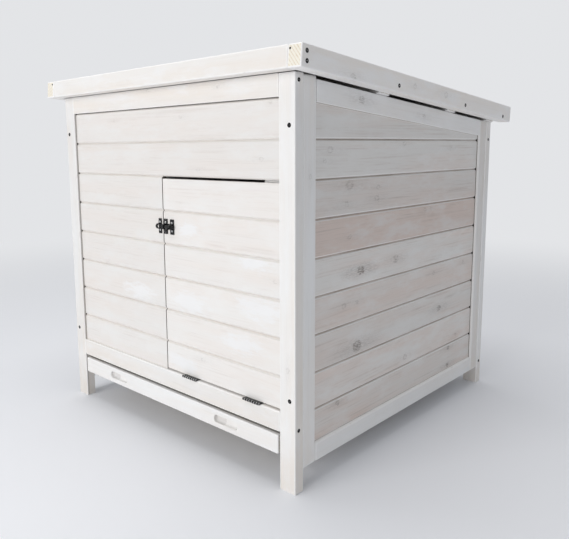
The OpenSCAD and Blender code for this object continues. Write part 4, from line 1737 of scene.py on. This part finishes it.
@dataclass
class Ironwork(SubAssembly):
    """The butt hinges and the bolt's plates, with the bolt and the pins kept from the CAD.

    Attributes:
        kept: The CAD nodes that stay as they are.
        leaves: Node and body of the hinges' leaves, those with the first knuckle before the others.
        plates: Node and body of the bolt's plates.
        hinge_len: Length of a hinge.
        knuckle_r: Radius of its knuckles.
        knuckles: Number of its knuckles.
        knuckle_gap: Gap between two knuckles.
        leaf_t: Thickness of its leaves.
        leaf_depth: Reach of its leaves under the door.
        leaf_gap: Gap between a leaf and the level of the pin's middle.
        plate_t: Thickness of the bolt's plates.
        foot_w: Width of a strap's foot on the plate.
        waist_h: Height of the plate between two straps.
        waist_sink: Depth of that part's face behind the feet's.
        bore_r: Inner radius of a strap.
        strap_r: Outer radius of a strap.
        strap_w: Width of a strap.
        strap_turn: Angle between the points of a strap's arch, in degrees.
        edge: Round of every edge.
        turn_steps: Points round a knuckle.
    """

    kept: tuple[str, ...] = ("hinge_pins", "bolt_bar")
    leaves: tuple[tuple[str, Body], ...] = (
        ("hinge_rail_leaves", Body.CARCASS), ("hinge_door_leaves", Body.DOOR))
    plates: tuple[tuple[str, Body], ...] = (("bolt_plate", Body.DOOR), ("bolt_keeper", Body.CARCASS))
    hinge_len: float = 0.035
    knuckle_r: float = 0.0020
    knuckles: int = 7
    knuckle_gap: float = 0.0004
    leaf_t: float = 0.001
    leaf_depth: float = 0.015
    leaf_gap: float = 0.0002
    plate_t: float = 0.0015
    foot_w: float = 0.0098
    waist_h: float = 0.010
    waist_sink: float = 0.00045
    bore_r: float = 0.0033
    strap_r: float = 0.0048
    strap_w: float = 0.005
    strap_turn: int = 15
    edge: float = 0.0003
    turn_steps: int = 20

    def build(self) -> None:
        """Build the hinges and the plates, and give the kept nodes their finish."""
        metals = (self.finishes.iron, self.finishes.steel)
        for first, (node, body) in enumerate(self.leaves):
            bm = bmesh.new()
            self.hinges(bm, first)
            close_piece(bm, node + "_dressed", (node,), body, Slot.IRON, *metals)
        for node, body in self.plates:
            bm = bmesh.new()
            self.plate(bm, node)
            close_piece(bm, node + "_dressed", (node,), body, Slot.IRON, *metals)
        for node in self.kept:
            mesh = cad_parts[node].data
            mesh.materials.clear()
            mesh.materials.append(self.finishes.iron)
            LOG.info("%s: CAD node in black iron", node)

    def hinges(self, bm: BMesh, first: int) -> None:
        """Add one leaf of each hinge with every second knuckle.

        Args:
            bm: The leaves' mesh.
            first: The first knuckle of these leaves: 0 on the rail, 1 on the door.
        """
        share = self.hinge_len / self.knuckles
        lift = self.leaf_gap if first else -self.leaf_gap - self.leaf_t
        for low, high in ends_of("hinge_pins", self.hinge_len):
            axis = (low + high) / 2
            for index in range(first, self.knuckles, 2):
                middle = Vector((low.x + (index + 0.5) * share, axis.y, axis.z))
                self.knuckle(bm, middle, share - self.knuckle_gap)
            corner = Vector((low.x, axis.y + self.knuckle_r, axis.z + lift))
            self.block(bm, corner, corner + Vector((self.hinge_len, self.leaf_depth, self.leaf_t)))

    def knuckle(self, bm: BMesh, middle: Vector, length: float) -> None:
        """Add one knuckle whose rounded ends are bright steel, a painted highlight.

        Args:
            bm: The leaves' mesh.
            middle: The knuckle's middle.
            length: Its length.
        """
        place = Matrix.Translation(middle) @ Matrix.Rotation(math.radians(90.0), 4, "Y")
        made = bmesh.ops.create_cone(bm, cap_ends=True, segments=self.turn_steps, radius1=self.knuckle_r,
                                     radius2=self.knuckle_r, depth=length, matrix=place)["verts"]
        rims = [edge for edge in edges_at(made) if edge.calc_length() < length / 2]
        # Bright steel on the rounded ends paints the highlight at each knuckle's joint.
        for face in round_off(bm, rims, self.edge):
            face.material_index = 1

    def block(self, bm: BMesh, low: Vector, high: Vector) -> None:
        """Add a flat plate with rounded edges."""
        round_off(bm, edges_at(add_box(bm, low, high)), self.edge)

    def feet(self, node: str) -> list[Range]:
        """Place the straps' feet on one of the bolt's plates.

        Args:
            node: The plate's CAD node.

        Returns:
            Where each foot starts and ends along X.
        """
        low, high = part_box(node)
        width = min(self.foot_w, high.x - low.x)
        starts = [low.x] if high.x - low.x < 2 * self.foot_w else [low.x, high.x - width]
        return [(start, start + width) for start in starts]

    def plate(self, bm: BMesh, node: str) -> None:
        """Add one of the bolt's plates with its straps.

        Args:
            bm: The plate's mesh.
            node: The plate's CAD node.
        """
        low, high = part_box(node)
        face_y = high.y - self.plate_t
        middle = (low.z + high.z) / 2
        feet = self.feet(node)
        for start, end in feet:
            self.block(bm, Vector((start, face_y, low.z)), Vector((end, high.y, high.z)))
            self.strap(bm, Vector(((start + end - self.strap_w) / 2, face_y, middle)))
        if len(feet) > 1:
            left, right = ((start + end) / 2 for start, end in feet)
            self.block(bm, Vector((left, face_y + self.waist_sink, middle - self.waist_h / 2)),
                       Vector((right, high.y, middle + self.waist_h / 2)))

    def strap(self, bm: BMesh, seat: Vector) -> None:
        """Add a strap that arches over the bolt.

        Args:
            bm: The plate's mesh.
            seat: The point of the plate's face behind the bolt, at the strap's start along X.
        """
        old = set(bm.edges)
        axis = seat.y - self.bore_r
        turns = [math.radians(angle) for angle in range(-90, 91, self.strap_turn)]
        outer, inner = ([(seat.y, -radius),
                         *((axis - radius * math.cos(turn), radius * math.sin(turn)) for turn in turns),
                         (seat.y, radius)] for radius in (self.strap_r, self.bore_r))
        outline = [(seat.x, y, seat.z + z) for y, z in (*outer, *reversed(inner))]
        add_prism(bm, outline, self.strap_w)
        bm.normal_update()
        rims = [edge for edge in bm.edges if edge not in old and self.outer_rim(edge, axis, seat.z)]
        round_off(bm, rims, self.edge)

    def outer_rim(self, edge: BMEdge, axis_y: float, axis_z: float) -> bool:
        """Tell whether an edge runs round the outside of a strap's end.

        Args:
            edge: The edge.
            axis_y: Place of the bolt's axis along Y.
            axis_z: Its height.

        Returns:
            Whether it does.
        """
        points = [vert.co for vert in edge.verts]
        between = (self.strap_r + self.bore_r) / 2
        flat = abs(points[0].x - points[1].x) < TINY
        nearest = min(math.hypot(point.y - axis_y, point.z - axis_z) for point in points)
        return flat and nearest > between and max(point.y for point in points) < axis_y + TINY


@dataclass
class Fasteners(SubAssembly):
    """Cross-head screws and nails: black ones flush in the timber, bright ones in the bolt's plates.

    Attributes:
        slope: The roof's plane.
        ironwork: The ironwork, whose plates are screwed on.
        head_r: Radius of a screw's head.
        proud: Height of a head over the timber.
        flat_share: Share of a head's radius that is flat.
        recess_d: Depth of the cross recess.
        recess_share: Width of the recess's bottom as a share of its top.
        arm: Reach of the cross recess.
        arm_w: Width of the cross recess.
        turn_steps: Points round a head.
        leg_x: Distance of the screws in the legs' faces from the middle.
        leg_heights: Heights of those screws.
        side_r: Radius of the heads in the legs' sides.
        side_screws: Place along Y and height of each screw in the legs' sides.
        fascia_screws: Place along Y and height of each screw in a side fascia.
        nail_r: Radius of a nail's head.
        nail_x: Distance of a nail outside the side fascia's inner face.
        nail_drop: Depth of a nail under the roof's top face.
        plate_screw_r: Radius of a screw's head on the bolt's plates.
        plate_screw_z: Distance of those screws from the bolt.
    """

    slope: RoofSlope
    ironwork: Ironwork
    head_r: float = 0.0034
    proud: float = 0.0004
    flat_share: float = 0.86
    recess_d: float = 0.0010
    recess_share: float = 0.7
    arm: float = 0.0019
    arm_w: float = 0.0007
    turn_steps: int = 20
    leg_x: float = 0.2885
    leg_heights: tuple[float, ...] = (0.5415, 0.1445)
    side_r: float = 0.00306
    side_screws: tuple[Range, ...] = (
        (-0.3095, 0.602), (-0.3095, 0.100), (0.3025, 0.524), (0.3025, 0.048))
    fascia_screws: tuple[Range, ...] = (
        (-0.328, 0.635), (-0.328, 0.622), (-0.100, 0.605), (0.131, 0.585), (0.301, 0.570))
    nail_r: float = 0.0016
    nail_x: float = 0.004
    nail_drop: float = 0.006
    plate_screw_r: float = 0.0019
    plate_screw_z: float = 0.0070

    def build(self) -> None:
        """Build the heads on the carcass as one piece, and those on each plate as another."""
        metals = (self.finishes.iron, self.finishes.steel)
        bm = bmesh.new()
        for side in BOTH_SIDES:
            self.leg(bm, side)
            self.fascia(bm, side)
        close_piece(bm, "screws_and_nails", (), Body.CARCASS, Slot.IRON, *metals)
        for node, body in self.ironwork.plates:
            bm = bmesh.new()
            self.plate(bm, node)
            close_piece(bm, node + "_screws", (), body, Slot.IRON, *reversed(metals))

    def leg(self, bm: BMesh, side: float) -> None:
        """Set the screws in the faces and sides of the two legs on one side.

        Args:
            bm: The heads' mesh.
            side: -1 on the left, 1 on the right.
        """
        faces = ((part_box("leg_front_left")[0].y, -1.0), (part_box("leg_back_left")[1].y, 1.0))
        for face_y, outward in faces:
            way = Vector((0.0, outward, 0.0))
            for height in self.leg_heights:
                self.head(bm, Vector((side * self.leg_x, face_y, height)), way, self.head_r)
        half_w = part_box("leg_front_right")[1].x
        for y, height in self.side_screws:
            self.head(bm, Vector((side * half_w, y, height)), Vector((side, 0.0, 0.0)), self.side_r)

    def fascia(self, bm: BMesh, side: float) -> None:
        """Set the screws and the nail of one side fascia.

        Args:
            bm: The heads' mesh.
            side: -1 on the left, 1 on the right.
        """
        slope = self.slope
        for y, height in self.fascia_screws:
            self.head(bm, Vector((side * slope.outer_x, y, height)), Vector((side, 0.0, 0.0)), self.head_r)
        nail = slope.point(-slope.length / 2, -self.nail_drop, side * (slope.inner_x + self.nail_x))
        self.head(bm, nail, slope.way((0.0, -1.0, 0.0)), self.nail_r)

    def plate(self, bm: BMesh, node: str) -> None:
        """Set the screws of one of the bolt's plates.

        Args:
            bm: The heads' mesh.
            node: The plate's CAD node.
        """
        low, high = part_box(node)
        face_y = high.y - self.ironwork.plate_t
        for start, end in self.ironwork.feet(node):
            for way in BOTH_SIDES:
                height = (low.z + high.z) / 2 + way * self.plate_screw_z
                self.head(bm, Vector(((start + end) / 2, face_y, height)), Vector((0.0, -1.0, 0.0)),
                          self.plate_screw_r)

    def head(self, bm: BMesh, point: Vector, outward: Vector, radius: float) -> None:
        """Add one head, its cross recess in the second material.

        Args:
            bm: The heads' mesh.
            point: Its middle on the timber's face.
            outward: The way the face looks.
            radius: The head's radius.
        """
        old = set(bm.verts)
        flat = bmesh.ops.create_circle(bm, segments=self.turn_steps, radius=radius * self.flat_share,
                                       cap_ends=False)["verts"]
        rim = edges_at(flat)
        scale = radius / self.head_r
        arm = self.arm * scale
        half = self.arm_w * scale / 2
        quarter = ((half, half), (half, arm), (-half, arm))
        corners = []
        for _ in range(4):
            corners += [bm.verts.new((x, y, 0.0)) for x, y in quarter]
            quarter = [(-y, x) for x, y in quarter]
        cross = [bm.edges.new((corners[i - 1], corners[i])) for i in range(len(corners))]
        bmesh.ops.triangle_fill(bm, edges=[*rim, *cross], use_beauty=True, normal=(0.0, 0.0, 1.0))
        for face in self.skirt(bm, cross, self.recess_share, self.recess_d * scale):
            face.material_index = 1
        self.skirt(bm, rim, 1 / self.flat_share, self.proud)
        turn = outward.to_track_quat("Z", "Y").to_matrix().to_4x4()
        place = Matrix.Translation(point + outward * self.proud) @ turn
        bmesh.ops.transform(bm, matrix=place, verts=[vert for vert in bm.verts if vert not in old])

    @staticmethod
    def skirt(bm: BMesh, loop: list[BMEdge], grow: float, drop: float) -> list[BMFace]:
        """Draw a loop of edges down, wider or narrower, and close it.

        Args:
            bm: The heads' mesh.
            loop: The edges, round the origin.
            grow: Width at the bottom as a share of the loop's.
            drop: How far down it goes.

        Returns:
            The faces that close it.
        """
        grown = bmesh.ops.extrude_edge_only(bm, edges=loop)["geom"]
        moved = only(grown, BMVert)
        bmesh.ops.scale(bm, vec=(grow, grow, 1.0), verts=moved)
        bmesh.ops.translate(bm, vec=(0.0, 0.0, -drop), verts=moved)
        return bmesh.ops.edgeloop_fill(bm, edges=only(grown, BMEdge))["faces"]


@dataclass(frozen=True)
class Lamp:
    """A square soft lamp.

    Attributes:
        name: The lamp's name.
        place: Where it hangs.
        target: The point that it looks at.
        size: Its side.
        power: Its power, in watts.
    """

    name: str
    place: Triple
    target: Triple
    size: float
    power: float

    def hang(self, colour: Colour) -> None:
        """Put the lamp in the scene.

        Args:
            colour: The lamp's colour.
        """
        light = bpy.data.lights.new(self.name, "AREA")
        light.size = self.size
        light.energy = self.power
        light.color = colour
        lamp = bpy.data.objects.new(self.name, light)
        lamp.location = self.place
        way = Vector(self.target) - Vector(self.place)
        lamp.rotation_euler = way.to_track_quat("-Z", "Y").to_euler()
        bpy.context.scene.collection.objects.link(lamp)


@dataclass
class Studio:
    """A pale floor, soft lamps and the photograph's camera.

    Attributes:
        backdrop: Colour behind the floor.
        floor: Colour of the floor.
        floor_r: Radius of the floor.
        floor_steps: Points round the floor.
        floor_rough: The floor's roughness.
        fade: Distances from the box at which the floor starts to fade into the backdrop and ends.
        ambient: Light from all round.
        lamp_colour: Colour of the lamps.
        lamps: The lamps.
        eye: The camera's place.
        yaw: The camera's turn from +Y towards -X, in degrees.
        pitch: How far it looks down, in degrees.
        roll: Its roll, in degrees.
        lens: Focal length, in mm.
        sensor: Width of the sensor, in mm.
        shift: The picture's shift, as shares of its width.
    """

    backdrop: Colour = (0.77, 0.78, 0.80)
    floor: Colour = (0.905, 0.92, 0.955)
    floor_r: float = 14.0
    floor_steps: int = 96
    floor_rough: float = 0.7
    fade: Range = (0.5, 2.6)
    ambient: Colour = (0.385, 0.393, 0.408)
    lamp_colour: Colour = (1.0, 0.99, 0.975)
    lamps: tuple[Lamp, ...] = (
        Lamp("key_lamp", (-0.2, -3.2, 1.1), (0.1, -0.3, 0.4), 2.0, 44.5),
        Lamp("top_lamp", (-0.2, -0.1, 2.7), (0.0, -0.1, 0.3), 1.8, 26.0),
    )
    eye: Triple = (0.8521, -0.9761, 0.5103)
    yaw: float = 43.729
    pitch: float = 8.365
    roll: float = -0.561
    lens: float = 39.44
    sensor: float = 36.0
    shift: Range = (0.0514, -0.0515)

    def build(self) -> None:
        """Build the floor, the light and the camera."""
        self.world()
        self.ground()
        for lamp in self.lamps:
            lamp.hang(self.lamp_colour)
        self.camera()
        bpy.context.scene.view_settings.view_transform = "Standard"

    def world(self) -> None:
        """Light the scene evenly and show a pale backdrop to the camera."""
        world = bpy.data.worlds.new("studio_world")
        bpy.context.scene.world = world
        world.use_nodes = True
        bench = NodeBench(world.node_tree)
        path = bench.add("LightPath").outputs
        rays = [path[f"Is {kind} Ray"] for kind in ("Camera", "Glossy", "Transmission")]
        seen = bench.math("MAXIMUM", *rays)
        background = world.node_tree.nodes["Background"]
        bench.put(background.inputs["Color"], bench.mix(seen, self.ambient, self.backdrop))

    def ground(self) -> None:
        """Lay a wide pale floor that fades into the backdrop."""
        bm = bmesh.new()
        bmesh.ops.create_circle(bm, cap_ends=True, segments=self.floor_steps, radius=self.floor_r)
        mesh = bpy.data.meshes.new("floor")
        bm.to_mesh(mesh)
        bm.free()
        floor = bpy.data.objects.new("floor", mesh)
        bpy.context.scene.collection.objects.link(floor)
        bench = MaterialBench("pale_floor")
        mesh.materials.append(bench.shade({"Base Color": self.floor, "Roughness": self.floor_rough}))
        away = bench.length(bench.add("TexCoord").outputs["Object"])
        fade = bench.times(bench.ease(away, *self.fade), bench.add("LightPath").outputs["Is Camera Ray"])
        glow = bench.add("Emission", {"Color": self.backdrop})
        joined = bench.add("MixShader", {0: fade, 1: bench.shader.outputs[0], 2: glow.outputs[0]})
        bench.put(bench.tree.nodes["Material Output"].inputs["Surface"], joined.outputs[0])

    def camera(self) -> None:
        """Set the camera where the photograph was taken."""
        yaw = math.radians(self.yaw)
        pitch = math.radians(self.pitch)
        level = Vector((math.cos(yaw), math.sin(yaw), 0.0))
        ahead = Vector((-math.sin(yaw), math.cos(yaw), 0.0))
        forward = ahead * math.cos(pitch) - Vector((0.0, 0.0, math.sin(pitch)))
        turn = Matrix.Rotation(math.radians(-self.roll), 3, forward)
        basis = Matrix((turn @ level, turn @ level.cross(forward), -forward)).transposed()
        lens = bpy.data.cameras.new("photo_camera")
        lens.sensor_fit = "HORIZONTAL"
        lens.sensor_width = self.sensor
        lens.lens = self.lens
        lens.shift_x, lens.shift_y = self.shift
        camera = bpy.data.objects.new("photo_camera", lens)
        camera.matrix_world = Matrix.Translation(Vector(self.eye)) @ basis.to_4x4()
        bpy.context.scene.collection.objects.link(camera)
        bpy.context.scene.camera = camera


RIGHT_KNOTS = (
    Mark(-110, 574, 3.0, 0.3), Mark(-20, 517, 4.0, 0.4), Mark(150, 508, 3.4, 0.4), Mark(-230, 507, 5.0, 0.3),
    Mark(-243, 491, 3.0, 0.3), Mark(-180, 453, 7.0, 0.5), Mark(-100, 446, 3.4, 0.4),
    Mark(-103, 428, 5.0, 0.5), Mark(-187, 424, 4.0, 0.4), Mark(57, 398, 3.0, 0.5), Mark(80, 398, 2.6, 0.4),
    Mark(-178, 372, 4.0, 0.4), Mark(-40, 319, 6.0, 0.7), Mark(-146, 315, 6.5, 1.4),
    Mark(-191, 264, 4.5, 0.4), Mark(-156, 264, 3.4, 0.4),
    Mark(98, 273, 4.0, 0.4), Mark(221, 277, 3.4, 0.4), Mark(124, 200, 5.5, 1.0), Mark(-154, 190, 8.5, 1.1),
    Mark(-207, 109, 4.0, 0.7), Mark(168, 108, 4.0, 0.9), Mark(167, 73, 4.0, 1.1),
)
RIGHT_RAIL_KNOTS = (Mark(-156, -48, 5.5, 1.0), Mark(38, -52, 4.0, 0.7))
RIGHT_TONES = {
    8: Tone(-0.9, 0.0), 7: Tone(-0.7, -0.2), 6: Tone(-0.6, 0.1), 5: Tone(0.1, -0.6), 4: Tone(1.6, -0.9),
    3: Tone(-0.3, 0.1), 2: Tone(0.2, -0.4), 1: Tone(-0.2, -0.5), 0: Tone(-0.1, -0.1), -1: Tone(0.1, -0.6),
}
# The strips' dark dirt colour is painted shade on the walls of their slots.
STRIPS = Whitewash("whitewashed_strips", cool=(0.85, 0.85, 0.845), warm=(0.83, 0.785, 0.735),
                   thick=(0.87, 0.87, 0.87), dirt=(0.10, 0.085, 0.07), fibre=0.10, knots=0.6)
BOARDS = Whitewash("whitewashed_boards")
FRONT = Whitewash("whitewashed_front", cool=(0.835, 0.822, 0.803), warm=(0.835, 0.787, 0.747),
                  lip=(0.80, 0.765, 0.73), dirt=(0.75, 0.70, 0.65), fibre=0.20, knots=0.45)
PLYWOOD = Whitewash("tray_plywood", cool=(0.66, 0.62, 0.56), warm=(0.62, 0.55, 0.46),
                    thick=(0.68, 0.65, 0.60))


def main() -> None:
    """Build the nest box and the studio in order."""
    logging.basicConfig(level=logging.INFO, format="%(name)s: %(message)s")
    group = WhitewashGroup(KnotGroup())
    timbers = [finish.material(group) for finish in (STRIPS, BOARDS, FRONT, PLYWOOD)]
    finishes = Finishes(*timbers, BlackIron().material(), BrightSteel().material())
    slope = RoofSlope()
    front = FrontPanel(finishes)
    ironwork = Ironwork(finishes)
    parts = (
        Frame(finishes),
        front,
        Door(finishes, front),
        SidePanel(finishes, Face.RIGHT, slope, RIGHT_KNOTS, RIGHT_TONES, RIGHT_RAIL_KNOTS),
        SidePanel(finishes, Face.LEFT, slope),
        BackPanel(finishes),
        Tray(finishes),
        Roof(finishes, slope),
        ironwork,
        Fasteners(finishes, slope, ironwork),
    )
    for part in parts:
        part.build()
    Studio().build()


if __name__ == "__main__":
    main()
